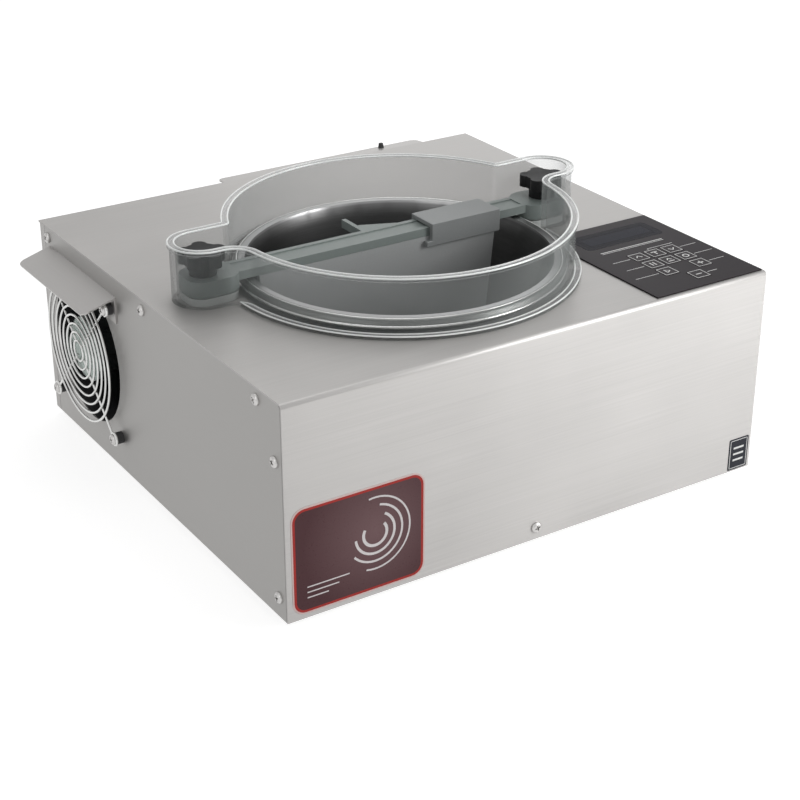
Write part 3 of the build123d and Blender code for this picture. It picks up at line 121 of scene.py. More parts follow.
def surface(name, tint, shade, rough, stretch, metallic=0.0, relief=0.1, shine=0.5, brushed=None):
    """Material with a fine grain, a broad change of tint and a roughness that follows both."""
    made, tree, shader = new_material(name)
    grain = noise(tree, stretch)
    broad = noise(tree, (SMUDGE, SMUDGE, SMUDGE), detail=2.0)
    both = tree.nodes.new("ShaderNodeMath")
    both.operation = "MULTIPLY_ADD"
    both.inputs[1].default_value = GRAIN_SHARE
    weighed = tree.nodes.new("ShaderNodeMath")
    weighed.operation = "MULTIPLY"
    weighed.inputs[1].default_value = BROAD_SHARE
    tree.links.new(broad, weighed.inputs[0])
    tree.links.new(grain, both.inputs[0])
    tree.links.new(weighed.outputs[0], both.inputs[2])
    dark = tuple(c * (1 - shade) for c in tint)
    light = tuple(min(1.0, c * (1 + shade)) for c in tint)
    tint_ramp = ramp_of(tree, both.outputs[0], ((TINT_LOW, dark), (TINT_HIGH, light)))
    tree.links.new(tint_ramp, shader.inputs["Base Color"])
    tree.links.new(spread(tree, both.outputs[0], rough[0], rough[1]), shader.inputs["Roughness"])
    shader.inputs["Metallic"].default_value = metallic
    shader.inputs["Specular IOR Level"].default_value = shine
    bump(tree, shader, grain, relief, RELIEF_DEPTH)
    if brushed:
        around = tree.nodes.new("ShaderNodeTangent")
        around.direction_type = "RADIAL"
        around.axis = brushed
        tree.links.new(around.outputs[0], shader.inputs["Tangent"])
        shader.inputs["Anisotropic"].default_value = BRUSHED
    return made


STEEL = (0.415, 0.405, 0.396)
# The side panels' steel is tinted darker than STEEL: painted shade on the sides.
SIDE_STEEL_PAINTED_SHADE = (0.38, 0.372, 0.362)
STEEL_ROUGH = (0.40, 0.52)
wrap_steel = surface(
    "wrap_steel", tint=STEEL, shade=0.08, rough=STEEL_ROUGH,
    stretch=(6, 900, 900), metallic=0.9, relief=0.12, brushed="X",
)
side_steel_painted_shade = surface(
    "side_steel_painted_shade", tint=SIDE_STEEL_PAINTED_SHADE, shade=0.05, rough=STEEL_ROUGH,
    stretch=(900, 6, 900), metallic=0.9, relief=0.12, brushed="Y",
)
# The hood's steel is tinted lighter than STEEL: painted light on the hood.
hood_steel_painted_light = surface(
    "hood_steel_painted_light", tint=(0.50, 0.488, 0.478), shade=0.05, rough=STEEL_ROUGH,
    stretch=(900, 6, 900), metallic=0.9, relief=0.12, brushed="Y",
)
rear_steel = surface(
    "rear_steel", tint=STEEL, shade=0.05, rough=STEEL_ROUGH,
    stretch=(6, 900, 900), metallic=0.9, relief=0.12, brushed="X",
)
screw_steel = surface(
    "screw_steel", tint=(0.55, 0.54, 0.53), shade=0.12, rough=(0.25, 0.4),
    stretch=(700, 700, 700), metallic=1.0, relief=0.15,
)
chrome = surface(
    "guard_chrome", tint=(0.66, 0.66, 0.65), shade=0.08, rough=(0.12, 0.26),
    stretch=(300, 300, 300), metallic=1.0, relief=0.05,
)
frame_paint = surface(
    "fan_frame_paint", tint=(0.025, 0.025, 0.027), shade=0.2, rough=(0.4, 0.55),
    stretch=(500, 500, 500), relief=0.3,
)
fan_plastic = surface(
    "fan_plastic", tint=(0.022, 0.024, 0.024), shade=0.2, rough=(0.3, 0.45),
    stretch=(350, 350, 350), relief=0.15,
)
hub_film = surface(
    "hub_film", tint=(0.60, 0.68, 0.64), shade=0.35, rough=(0.3, 0.5),
    stretch=(260, 260, 260), metallic=0.3, relief=0.3,
)
rubber = surface(
    "rubber", tint=(0.03, 0.03, 0.03), shade=0.25, rough=(0.65, 0.85),
    stretch=(600, 600, 600), relief=0.4,
)
overlay_film = surface(
    "overlay_film", tint=(0.026, 0.022, 0.025), shade=0.1, rough=(0.36, 0.46),
    stretch=(1400, 1400, 1400), relief=0.25, shine=0.06,
)
key_film = surface(
    "key_film", tint=(0.031, 0.026, 0.029), shade=0.1, rough=(0.34, 0.44),
    stretch=(1400, 1400, 1400), relief=0.25, shine=0.06,
)
window_film = surface(
    "window_film", tint=(0.008, 0.008, 0.013), shade=0.2, rough=(0.2, 0.3),
    stretch=(200, 200, 200), relief=0.03, shine=0.02,
)
display_film = surface(
    "display_film", tint=(0.012, 0.013, 0.022), shade=0.2, rough=(0.2, 0.3),
    stretch=(2400, 900, 900), relief=0.1, shine=0.02,
)
white_ink = surface(
    "white_ink", tint=(0.78, 0.78, 0.77), shade=0.06, rough=(0.5, 0.65),
    stretch=(900, 900, 900), relief=0.1,
)
display_body = surface(
    "display_body", tint=(0.10, 0.10, 0.11), shade=0.1, rough=(0.4, 0.5),
    stretch=(400, 400, 400),
)
board_green = surface(
    "board_green", tint=(0.03, 0.16, 0.07), shade=0.2, rough=(0.3, 0.45),
    stretch=(300, 300, 300),
)
black_plastic = surface(
    "black_plastic", tint=(0.028, 0.028, 0.03), shade=0.2, rough=(0.4, 0.55),
    stretch=(800, 800, 800), relief=0.3,
)
spacer_metal = surface(
    "spacer_metal", tint=(0.6, 0.6, 0.6), shade=0.1, rough=(0.3, 0.45),
    stretch=(600, 600, 600), metallic=1.0,
)
# Dark steel of the rim's flange: painted shade.
rim_steel_painted_shade = surface(
    "rim_steel_painted_shade", tint=(0.20, 0.205, 0.20), shade=0.06, rough=(0.3, 0.4),
    stretch=(40, 40, 900), metallic=1.0, relief=0.05,
)
# Pale steel of the rim's beads: painted highlight.
bead_steel_painted_highlight = surface(
    "bead_steel_painted_highlight", tint=(0.80, 0.80, 0.79), shade=0.05, rough=(0.16, 0.26),
    stretch=(40, 40, 900), metallic=1.0, relief=0.05,
)
# Near-white tubes on the clear skirt's edges: painted highlight.
edge_painted_highlight = surface(
    "edge_painted_highlight", tint=(0.86, 0.88, 0.87), shade=0.06, rough=(0.12, 0.24),
    stretch=(260, 260, 60), relief=0.05,
)
table_metal = surface(
    "table_metal", tint=(0.58, 0.58, 0.59), shade=0.08, rough=(0.3, 0.4),
    stretch=(40, 40, 900), metallic=1.0,
)
shaft_metal = surface(
    "shaft_metal", tint=(0.55, 0.55, 0.55), shade=0.08, rough=(0.25, 0.35),
    stretch=(900, 900, 40), metallic=1.0,
)
motor_paint = surface(
    "motor_paint", tint=(0.10, 0.10, 0.11), shade=0.15, rough=(0.35, 0.5),
    stretch=(300, 300, 300), relief=0.3,
)
zinc = surface(
    "bracket_zinc", tint=(0.50, 0.51, 0.53), shade=0.15, rough=(0.35, 0.5),
    stretch=(90, 90, 90), metallic=0.9,
)
heater_metal = surface(
    "heater_metal", tint=(0.50, 0.48, 0.45), shade=0.12, rough=(0.4, 0.55),
    stretch=(200, 200, 200), metallic=0.9,
)
bridge_plastic = surface(
    "bridge_plastic", tint=(0.20, 0.23, 0.22), shade=0.05, rough=(0.38, 0.5),
    stretch=(700, 700, 700), relief=0.2,
)
clip_plastic = surface(
    "clip_plastic", tint=(0.23, 0.24, 0.24), shade=0.05, rough=(0.38, 0.5),
    stretch=(700, 700, 700), relief=0.2,
)
baffle_plastic = surface(
    "baffle_plastic", tint=(0.36, 0.37, 0.37), shade=0.06, rough=(0.35, 0.5),
    stretch=(700, 700, 700), relief=0.2,
)
post_plastic = surface(
    "post_plastic", tint=(0.48, 0.50, 0.49), shade=0.05, rough=(0.4, 0.5),
    stretch=(700, 700, 700), relief=0.2,
)
knob_plastic = surface(
    "knob_plastic", tint=(0.014, 0.014, 0.015), shade=0.25, rough=(0.4, 0.55),
    stretch=(700, 700, 700), relief=0.3, shine=0.2,
)
supply_metal = surface(
    "supply_metal", tint=(0.55, 0.55, 0.56), shade=0.08, rough=(0.35, 0.5),
    stretch=(6, 600, 600), metallic=1.0,
)
badge_edge = surface(
    "badge_edge", tint=(0.66, 0.50, 0.48), shade=0.06, rough=(0.3, 0.4),
    stretch=(500, 500, 500), relief=0.1, shine=PRINT_SHINE,
)
badge_red = surface(
    "badge_red", tint=(0.38, 0.035, 0.03), shade=0.1, rough=(0.25, 0.35),
    stretch=(500, 500, 500), relief=0.1, shine=PRINT_SHINE,
)
badge_silver = surface(
    "badge_silver", tint=(0.60, 0.57, 0.57), shade=0.1, rough=(0.3, 0.4),
    stretch=(400, 400, 400), metallic=0.3,
)
label_dark = surface(
    "label_dark", tint=(0.025, 0.027, 0.035), shade=0.15, rough=(0.3, 0.4),
    stretch=(500, 500, 500), relief=0.1, shine=PRINT_SHINE,
)


CLEAR_IOR = 1.46
CLEAR_ROUGH = (0.04, 0.12)
# Grey tint of the walls is painted shade; the paler tint of faces that look up is painted highlight.
CLEAR_WALL_PAINTED_SHADE, CLEAR_TOP_PAINTED_HIGHLIGHT = (0.31, 0.33, 0.325), (0.62, 0.63, 0.63)
CLEAR_WALL_Z, CLEAR_TOP_Z = 0.5, 0.95
CLEAR_BLEND = 0.3
CLEAR_FACING, CLEAR_GLANCE = 0.13, 0.62


def clear_plastic():
    """Clear moulded plastic: see-through walls, denser at a glance, with a grey tint on the walls as
    painted shade and a paler tint where it looks up as painted highlight.
    """
    made, tree, shader = new_material("clear_plastic")
    shader.inputs["IOR"].default_value = CLEAR_IOR
    scratches = noise(tree, (260, 260, 30))
    tree.links.new(spread(tree, scratches, *CLEAR_ROUGH), shader.inputs["Roughness"])
    looks = tree.nodes.new("ShaderNodeNewGeometry")
    parts = tree.nodes.new("ShaderNodeSeparateXYZ")
    tree.links.new(looks.outputs["Normal"], parts.inputs[0])
    stops = ((CLEAR_WALL_Z, CLEAR_WALL_PAINTED_SHADE), (CLEAR_TOP_Z, CLEAR_TOP_PAINTED_HIGHLIGHT))
    tint = ramp_of(tree, parts.outputs["Z"], stops)
    tree.links.new(tint, shader.inputs["Base Color"])
    weight = tree.nodes.new("ShaderNodeLayerWeight")
    weight.inputs["Blend"].default_value = CLEAR_BLEND
    glance = tree.nodes.new("ShaderNodeMapRange")
    glance.inputs["To Min"].default_value = CLEAR_FACING
    glance.inputs["To Max"].default_value = CLEAR_GLANCE
    tree.links.new(weight.outputs["Facing"], glance.inputs["Value"])
    tree.links.new(glance.outputs["Result"], shader.inputs["Alpha"])
    return made


RIM_DULL, RIM_BRIGHT = 2.4 * MM, 1.2 * MM
BOWL_GRAIN = 0.2
# Tints of the bowl: dark inside as painted shade, lighter towards the rim as painted highlight.
BOWL_SHADE_AND_HIGHLIGHT_TINTS = ((0.05, 0.18), (0.15, 0.22), (0.9, 0.30), (1.0, 0.34))
BOWL_ROUGH, BOWL_RIM_ROUGH = 0.36, 0.30
BOWL_RELIEF = 0.1


def bowl_metal(rim):
    """Spun steel, dull inside and polished on the rim; its tint is dark inside as painted shade and
    lighter near the rim as painted highlight.
    """
    made, tree, shader = new_material("bowl_steel")
    grain = noise(tree, (40, 40, 900))
    place = tree.nodes.new("ShaderNodeTexCoord")
    parts = tree.nodes.new("ShaderNodeSeparateXYZ")
    tree.links.new(place.outputs["Object"], parts.inputs[0])
    height = tree.nodes.new("ShaderNodeMapRange")
    height.inputs["From Min"].default_value = rim - RIM_DULL
    height.inputs["From Max"].default_value = rim - RIM_BRIGHT
    tree.links.new(parts.outputs["Z"], height.inputs["Value"])
    mixed = tree.nodes.new("ShaderNodeMath")
    mixed.operation = "MULTIPLY_ADD"
    mixed.inputs[1].default_value = BOWL_GRAIN
    tree.links.new(grain, mixed.inputs[0])
    tree.links.new(height.outputs["Result"], mixed.inputs[2])
    tint = ramp_of(tree, mixed.outputs[0], BOWL_SHADE_AND_HIGHLIGHT_TINTS)
    tree.links.new(tint, shader.inputs["Base Color"])
    rough = tree.nodes.new("ShaderNodeMapRange")
    rough.inputs["To Min"].default_value = BOWL_ROUGH
    rough.inputs["To Max"].default_value = BOWL_RIM_ROUGH
    tree.links.new(height.outputs["Result"], rough.inputs["Value"])
    tree.links.new(rough.outputs["Result"], shader.inputs["Roughness"])
    shader.inputs["Metallic"].default_value = 1.0
    bump(tree, shader, grain, BOWL_RELIEF, RELIEF_DEPTH)
    return made


GLOW_REACH = 55 * MM
PLUM_TINTS = ((0.0, (0.17, 0.10, 0.105)), (1.0, (0.075, 0.031, 0.035)))
PLUM_ROUGH = (0.25, 0.35)
PLUM_RELIEF, PLUM_DEPTH = 0.05, 0.02 * MM


def badge_plum(centre):
    """Dark plum print that grows lighter towards a point."""
    made, tree, shader = new_material("badge_plum")
    place = tree.nodes.new("ShaderNodeTexCoord")
    away = tree.nodes.new("ShaderNodeVectorMath")
    away.operation = "DISTANCE"
    away.inputs[1].default_value = centre
    reach = tree.nodes.new("ShaderNodeMapRange")
    reach.inputs["From Max"].default_value = GLOW_REACH
    tree.links.new(place.outputs["Object"], away.inputs[0])
    tree.links.new(away.outputs["Value"], reach.inputs["Value"])
    tint = ramp_of(tree, reach.outputs["Result"], PLUM_TINTS)
    tree.links.new(tint, shader.inputs["Base Color"])
    grain = noise(tree, (900, 900, 900))
    tree.links.new(spread(tree, grain, *PLUM_ROUGH), shader.inputs["Roughness"])
    shader.inputs["Specular IOR Level"].default_value = PRINT_SHINE
    bump(tree, shader, grain, PLUM_RELIEF, PLUM_DEPTH)
    return made


skirt_clear = clear_plastic()
bowl_steel = bowl_metal(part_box("bowl")[1].z)

NODE_MATERIALS = {
    "wrap_cover": wrap_steel, "left_panel": side_steel_painted_shade, "right_panel": side_steel_painted_shade,
    "rear_panel": rear_steel, "base_pan": wrap_steel, "fan_hood": hood_steel_painted_light,
    "rear_hood": rear_steel, "bowl": bowl_steel,
    "fan_frame": frame_paint, "fan_rotor": fan_plastic, "feet": rubber, "hood_bumper": rubber,
    "control_overlay": overlay_film, "display_window": window_film, "display_module": display_body,
    "control_board": board_green, "key_switches": black_plastic, "switch_housing": black_plastic,
    "switch_rocker": black_plastic, "power_inlet": black_plastic, "fan_spacers": black_plastic,
    "board_spacers": spacer_metal, "supply_spacers": spacer_metal, "heater_posts": spacer_metal,
    "turntable": table_metal, "drive_shaft": shaft_metal, "drive_motor": motor_paint,
    "motor_bracket": zinc, "heater": heater_metal,
    "bridge_post_left": post_plastic, "bridge_post_right": post_plastic,
    "bridge": bridge_plastic, "baffle_clip": clip_plastic, "baffle": baffle_plastic,
    "temperature_probe": shaft_metal, "knob_left": knob_plastic, "knob_right": knob_plastic,
    "skirt": skirt_clear, "power_supply": supply_metal, "fan_guard": chrome,
    "foot_screws": screw_steel, "left_panel_screws": screw_steel,
    "right_panel_screws": screw_steel, "front_screw": screw_steel, "rear_panel_screws": screw_steel,
    "rear_hood_screws": screw_steel, "fan_screws": screw_steel, "inlet_screws": screw_steel,
    "bracket_screws": screw_steel,
}
# Widths of rounded edges, in millimetres
EDGES = {
    "wrap_cover": 0.3, "left_panel": 0.3, "right_panel": 0.3, "fan_hood": 0.3, "rear_hood": 0.3,
    "bridge": 0.8, "baffle_clip": 0.8, "baffle": 0.5, "knob_left": 1.2, "knob_right": 1.2,
    "bridge_post_left": 0.8, "bridge_post_right": 0.8, "feet": 0.8,
    "switch_rocker": 0.5, "switch_housing": 0.5, "power_inlet": 0.5, "control_overlay": 0.2,
    "fan_frame": 0.4, "bowl": 0.5,
}
KEYS = range(1, 10)
KEY_EDGE = 0.15
EDGE_STEPS = 3
SHARP = math.radians(40)
WELD = 0.002 * MM


def dress(node, material, edge=None):
    """Give a CAD node its material, and rounded edges where a width is stated."""
    obj = nodes[node]
    obj.data.materials.clear()
    obj.data.materials.append(material)
    if edge:
        weld = obj.modifiers.new("weld", "WELD")
        weld.merge_threshold = WELD
        rounded = obj.modifiers.new("edges", "BEVEL")
        rounded.width = edge * MM
        rounded.segments = EDGE_STEPS
        rounded.limit_method = "ANGLE"
        rounded.angle_limit = SHARP
        rounded.harden_normals = True


for name, made in NODE_MATERIALS.items():
    dress(name, made, EDGES.get(name))
for number in KEYS:
    dress(f"key_{number}", key_film, KEY_EDGE)


# Pieces built in mesh code
class Form:
    """Points and faces of one piece, gathered ring by ring."""

    def __init__(self):
        self.points = []
        self.faces = []

    def loft(self, rings, join=False):
        """Skin over rings of equally many points, capped at both ends unless they join up."""
        count = len(rings[0])
        start = len(self.points)
        for ring in rings:
            self.points.extend(ring)
        spans = len(rings) if join else len(rings) - 1
        for r in range(spans):
            near = start + r * count
            far = start + (r + 1) % len(rings) * count
            for k in range(count):
                n = (k + 1) % count
                self.faces.append((near + k, near + n, far + n, far + k))
        if not join:
            self.faces.append(tuple(start + k for k in reversed(range(count))))
            self.faces.append(tuple(start + spans * count + k for k in range(count)))

    def make(self, name, body, material, smooth=True):
        """Turn the form into a piece that rides on a body."""
        mesh = bpy.data.meshes.new(name)
        mesh.from_pydata([tuple(p) for p in self.points], [], self.faces)
        mesh.validate()
        mesh.update()
        obj = bpy.data.objects.new(name, mesh)
        scene.collection.objects.link(obj)
        mesh.materials.append(material)
        if smooth:
            mesh.shade_smooth()
            mesh.set_sharp_from_angle(angle=SHARP)
        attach(obj, body)
        return obj


def circle(centre, u, v, radius, count):
    """Points round a circle."""
    turns = [2 * math.pi * k / count for k in range(count)]
    return [centre + (u * math.cos(t) + v * math.sin(t)) * radius for t in turns]


NEAR = 0.01 * MM


def rounded_box(width, height, corner, steps=6):
    """Outline of a rectangle with round corners, as pairs."""
    corner = max(corner, NEAR)
    points = []
    for quarter, (sx, sy) in enumerate(((1, 1), (-1, 1), (-1, -1), (1, -1))):
        for k in range(steps + 1):
            t = math.pi / 2 * (quarter + k / steps)
            px = sx * (width / 2 - corner) + corner * math.cos(t)
            py = sy * (height / 2 - corner) + corner * math.sin(t)
            points.append((px, py))
    return points


class Face:
    """Flat place on the object, with two directions along it and one out of it."""

    def __init__(self, origin, u, v):
        self.origin = origin
        self.u = u
        self.v = v
        self.n = u.cross(v)

    def at(self, pair, lift=0.0):
        """Point of the object from a pair on the face."""
        return self.origin + self.u * pair[0] + self.v * pair[1] + self.n * lift

    def plate(self, form, width, height, corner, low, high, edge=0.05 * MM, centre=(0, 0)):
        """Flat plate with round corners and a small slope at its upper edge."""
        sizes = ((0, low), (0, high - edge), (edge, high))
        rings = []
        for inset, lift in sizes:
            outline = rounded_box(width - 2 * inset, height - 2 * inset, corner - inset)
            rings.append([self.at((x + centre[0], y + centre[1]), lift) for x, y in outline])
        form.loft(rings)

    def band(self, form, width, height, corner, line, low, high, centre=(0, 0)):
        """Frame of one line width round a rectangle with round corners."""
        outer = rounded_box(width, height, corner)
        inner = rounded_box(width - 2 * line, height - 2 * line, corner - line)
        rings = []
        for outline, lift in ((outer, low), (outer, high), (inner, high), (inner, low)):
            rings.append([self.at((x + centre[0], y + centre[1]), lift) for x, y in outline])
        form.loft(rings, join=True)

    def stroke(self, form, points, line, low, high):
        """Line of one width through pairs of the face."""
        left, right = [], []
        for k, point in enumerate(points):
            before = Vector(points[max(k - 1, 0)])
            after = Vector(points[min(k + 1, len(points) - 1)])
            along = (after - before).normalized()
            across = Vector((-along.y, along.x)) * line / 2
            left.append(Vector(point) + across)
            right.append(Vector(point) - across)
        rings = []
        for a, b in zip(left, right):
            rings.append([self.at(a, low), self.at(b, low), self.at(b, high), self.at(a, high)])
        form.loft(rings)


def arc(centre, radius, start, end, steps=24):
    """Pairs along an arc, with angles in degrees."""
    turns = [math.radians(start + (end - start) * k / steps) for k in range(steps + 1)]
    return [(centre[0] + radius * math.cos(t), centre[1] + radius * math.sin(t)) for t in turns]


def islands(node):
    """Box of each separate solid in a CAD node."""
    mesh = nodes[node].data
    spots = {}
    owner = []
    for vertex in mesh.vertices:
        key = tuple(round(c, 6) for c in vertex.co)
        owner.append(spots.setdefault(key, len(spots)))
    parent = list(range(len(spots)))

    def root(k):
        while parent[k] != k:
            parent[k] = parent[parent[k]]
            k = parent[k]
        return k

    for edge in mesh.edges:
        a, b = (root(owner[v]) for v in edge.vertices)
        parent[a] = b
    groups = {}
    for key, k in spots.items():
        groups.setdefault(root(k), []).append(key)
    boxes = []
    for points in groups.values():
        low = Vector([min(p[i] for p in points) for i in range(3)])
        high = Vector([max(p[i] for p in points) for i in range(3)])
        boxes.append((low, high))
    return sorted(boxes, key=lambda pair: tuple(pair[0]))


HEAD_R = 4.2 * MM
HEAD_H = 2.2 * MM
SHANK_R = 1.9 * MM
CROSS_ARM = 2.2 * MM
CROSS_HALF = 0.55 * MM
CROSS_DEPTH = 1.3 * MM
CROSS_TAPER = 0.86
FIRST_TURN, NEXT_TURN = 0.3, 0.9
# Dome of the head, in shares of its radius and height
DOME = ((1.0, -1.0), (1.0, -0.75), (0.93, -0.42), (0.76, -0.16), (0.6, -0.04))


def cross_outline():
    """Pairs round the recess of a cross head, with a pair between each two corners."""
    a, w = CROSS_ARM, CROSS_HALF
    quarter = [(a, -w), (a, w), (w, w)]
    corners = []
    for k in range(4):
        c, s = math.cos(k * math.pi / 2), math.sin(k * math.pi / 2)
        corners += [(x * c - y * s, x * s + y * c) for x, y in quarter]
    pairs = []
    for (x0, y0), (x1, y1) in zip(corners, corners[1:] + corners[:1]):
        pairs += [(x0, y0), ((x0 + x1) / 2, (y0 + y1) / 2)]
    return pairs


def screws(node, out, body):
    """Domed screws with a cross recess in place of a CAD node of plain ones."""
    form = Form()
    cross = cross_outline()
    angles = [math.atan2(y, x) for x, y in cross]
    for k, (low, high) in enumerate(islands(node)):
        mid = (low + high) / 2
        reach = abs((high - low).dot(out)) / 2
        u = Vector((abs(out.y) + abs(out.z), abs(out.x), 0)).normalized()
        v = out.cross(u)
        spin = FIRST_TURN + NEXT_TURN * k
        top = mid + out * reach
        spot_u = u * math.cos(spin) + v * math.sin(spin)
        spot_v = v * math.cos(spin) - u * math.sin(spin)
        rings = []
        profile = [(SHANK_R, -2 * reach), (SHANK_R, -HEAD_H)]
        profile += [(r * HEAD_R, h * HEAD_H) for r, h in DOME]
        rays = [spot_u * math.cos(t) + spot_v * math.sin(t) for t in angles]
        for radius, drop in profile:
            rings.append([top + out * drop + ray * radius for ray in rays])
        for scale, drop in ((1.0, 0.0), (CROSS_TAPER, -CROSS_DEPTH)):
            rings.append([top + out * drop + (spot_u * x + spot_v * y) * scale for x, y in cross])
        form.loft(rings)
    piece = form.make(f"{node}_fine", body, screw_steel)
    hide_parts(node)
    return piece


SCREWS = (
    ("left_panel_screws", -X), ("right_panel_screws", X), ("front_screw", -Y), ("rear_panel_screws", Y),
    ("rear_hood_screws", Y), ("inlet_screws", Y), ("fan_screws", -X),
)
for name, out in SCREWS:
    screws(name, out, "case")

# Wire guard of the fan: round rings in front of four legs that end in eyelets
guard_low, guard_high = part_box("fan_guard")
guard_mid = (guard_low + guard_high) / 2
WIRE_R = 0.9 * MM
LEG_R = 1.0 * MM
RINGS = 8
RING_IN = 8 * MM
RING_OUT = 55 * MM
EYE_R = 4.6 * MM
FAN_PITCH = 105 * MM
RING_STEPS, EYE_STEPS, WIRE_SIDES = 64, 24, 8
guard = Form()
ring_mid = Vector((guard_low.x + WIRE_R, guard_mid.y, guard_mid.z))
leg_mid = Vector((guard_high.x - LEG_R, guard_mid.y, guard_mid.z))
for k in range(RINGS):
    radius = RING_IN + (RING_OUT - RING_IN) * k / (RINGS - 1)
    rings = []
    for step in range(RING_STEPS):
        t = 2 * math.pi * step / RING_STEPS
        ray = Y * math.cos(t) + Z * math.sin(t)
        rings.append(circle(ring_mid + ray * radius, ray, X, WIRE_R, WIRE_SIDES))
    guard.loft(rings, join=True)
corner_r = FAN_PITCH / math.sqrt(2)
for k in range(4):
    t = math.pi / 4 + k * math.pi / 2
    ray = Y * math.cos(t) + Z * math.sin(t)
    side = X.cross(ray)
    start = leg_mid + ray * (RING_IN - WIRE_R)
    end = leg_mid + ray * (corner_r - EYE_R)
    guard.loft([circle(p, side, X, LEG_R, WIRE_SIDES) for p in (start, end)])
    eye = leg_mid + ray * corner_r
    rings = []
    for step in range(EYE_STEPS):
        a = 2 * math.pi * step / EYE_STEPS
        arm = ray * math.cos(a) + side * math.sin(a)
        rings.append(circle(eye + arm * EYE_R, arm, X, LEG_R, WIRE_SIDES))
    guard.loft(rings, join=True)
guard_piece = guard.make("fan_guard_wire", "case", chrome)
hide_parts("fan_guard")

# Cap on the hub of the fan, with a raised ring: radius and height in millimetres
hub = Vector((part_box("fan_rotor")[0].x, guard_mid.y, guard_mid.z))
CAP_STEPS = 48
CAP = (
    (20.6, 0.0), (20.6, 2.0), (25.0, 2.6), (25.0, 5.8), (24.2, 6.6), (22.5, 7.0),
    (15.0, 7.1), (14.3, 6.7), (5.0, 6.7), (4.3, 7.3), (2.0, 7.4),
)
disc = Form()
disc.loft([circle(hub - X * lift * MM, Z, Y, radius * MM, CAP_STEPS) for radius, lift in CAP])
disc.make("fan_hub_disc", "fan", hub_film)

# Rolled edge of the bowl's rim: a sloping flange, tinted dark as painted shade, that ends in a polished
# bead, tinted pale as painted highlight
bowl_low, bowl_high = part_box("bowl")
bowl_top = Vector(((bowl_low.x + bowl_high.x) / 2, (bowl_low.y + bowl_high.y) / 2, bowl_high.z))
RIM_R = (bowl_high.x - bowl_low.x) / 2
RIM_STEPS, BEAD_SIDES = 96, 10
# Section of the flange, in millimetres from the edge of the rim
FLANGE = (
    (-0.8, 0.05), (0.6, 0.0), (2.2, -1.2), (3.2, -3.2), (3.5, -5.0),
    (2.6, -5.0), (2.2, -3.4), (1.2, -2.0), (-0.8, -1.2),
)
BEAD_OUT = 3.0 * MM
BEAD_DROP = 5.4 * MM
BEAD_R = 1.2 * MM
TOP_LINE_OUT = 0.4 * MM
TOP_LINE_DROP = 0.3 * MM
TOP_LINE_R = 0.5 * MM
flange = Form()
flange.loft([circle(bowl_top + Z * z * MM, X, Y, RIM_R + r * MM, RIM_STEPS) for r, z in FLANGE], join=True)
flange.make("bowl_rim_flange", "bowl_drive", rim_steel_painted_shade)
bead = Form()
turns = [2 * math.pi * k / BEAD_SIDES for k in range(BEAD_SIDES)]
for out, drop, radius in ((BEAD_OUT, BEAD_DROP, BEAD_R), (TOP_LINE_OUT, TOP_LINE_DROP, TOP_LINE_R)):
    rings = []
    for t in turns:
        middle = bowl_top + Z * (radius * math.sin(t) - drop)
        rings.append(circle(middle, X, Y, RIM_R + out + radius * math.cos(t), RIM_STEPS))
    bead.loft(rings, join=True)
bead.make("bowl_rim_bead", "bowl_drive", bead_steel_painted_highlight)


# Painted highlights: bright white lines along the edges of the clear skirt
LEVEL = 0.99


def flat_loops(node, level):
    """Closed edge loops of a node's flat faces at one height, the longest first."""
    mesh = nodes[node].data
    count = {}
    for polygon in mesh.polygons:
        corners = [tuple(round(c, 6) for c in mesh.vertices[v].co) for v in polygon.vertices]
        if polygon.normal.z > LEVEL and all(abs(p[2] - level) < NEAR for p in corners):
            for a, b in zip(corners, corners[1:] + corners[:1]):
                pair = (min(a, b), max(a, b))
                count[pair] = count.get(pair, 0) + 1
    ways = {}
    for (a, b), uses in count.items():
        if uses == 1:
            ways.setdefault(a, []).append(b)
            ways.setdefault(b, []).append(a)
    loops = []
    while ways:
        here = next(iter(ways))
        loop = []
        while here in ways:
            loop.append(Vector(here))
            steps = ways.pop(here)
            here = next((p for p in steps if p in ways), None)
        loops.append(loop)
    return sorted(loops, key=lambda loop: -sum((a - b).length for a, b in zip(loop, loop[1:])))


def foot_level(node):
    """Height of a node's lowest flat face that looks up."""
    mesh = nodes[node].data
    return min(p.center.z for p in mesh.polygons if p.normal.z > LEVEL)


def edge_line(form, loop, inset, drop, radius):
    """Round line along a loop, set in from it and down."""
    area = sum(a.x * b.y - b.x * a.y for a, b in zip(loop, loop[1:] + loop[:1]))
    inward = inset if area > 0 else -inset
    rings = []
    for k, point in enumerate(loop):
        along = (loop[(k + 1) % len(loop)] - loop[k - 1]).normalized()
        side = Z.cross(along)
        rings.append(circle(point + side * inward - Z * drop, side, Z, radius, WIRE_SIDES))
    form.loft(rings, join=True)


EDGE_R, EDGE_IN = 0.7 * MM, 0.5 * MM
FOOT_EDGE_R, FOOT_EDGE_IN = 0.6 * MM, 0.4 * MM
outer_edge, inner_edge = flat_loops("skirt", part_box("skirt")[1].z)[:2]
lines = Form()
edge_line(lines, outer_edge, EDGE_IN, EDGE_IN, EDGE_R)
edge_line(lines, inner_edge, -EDGE_IN, EDGE_IN, EDGE_R)
foot_edge = flat_loops("skirt", foot_level("skirt"))[0]
edge_line(lines, foot_edge, FOOT_EDGE_IN, FOOT_EDGE_IN, FOOT_EDGE_R)
lines.make("skirt_painted_edge_highlights", "skirt", edge_painted_highlight)

# Print on the control panel
INK = 0.05 * MM
HAIR = 0.45 * MM
RULE_LINE, RULE_DROP, RULE_GAP = 0.8 * MM, 8.5 * MM, 2 * MM
RULE_LEFT, RULE_RIGHT = 4 * MM, 10 * MM
LEADER_IN = 8.2 * MM
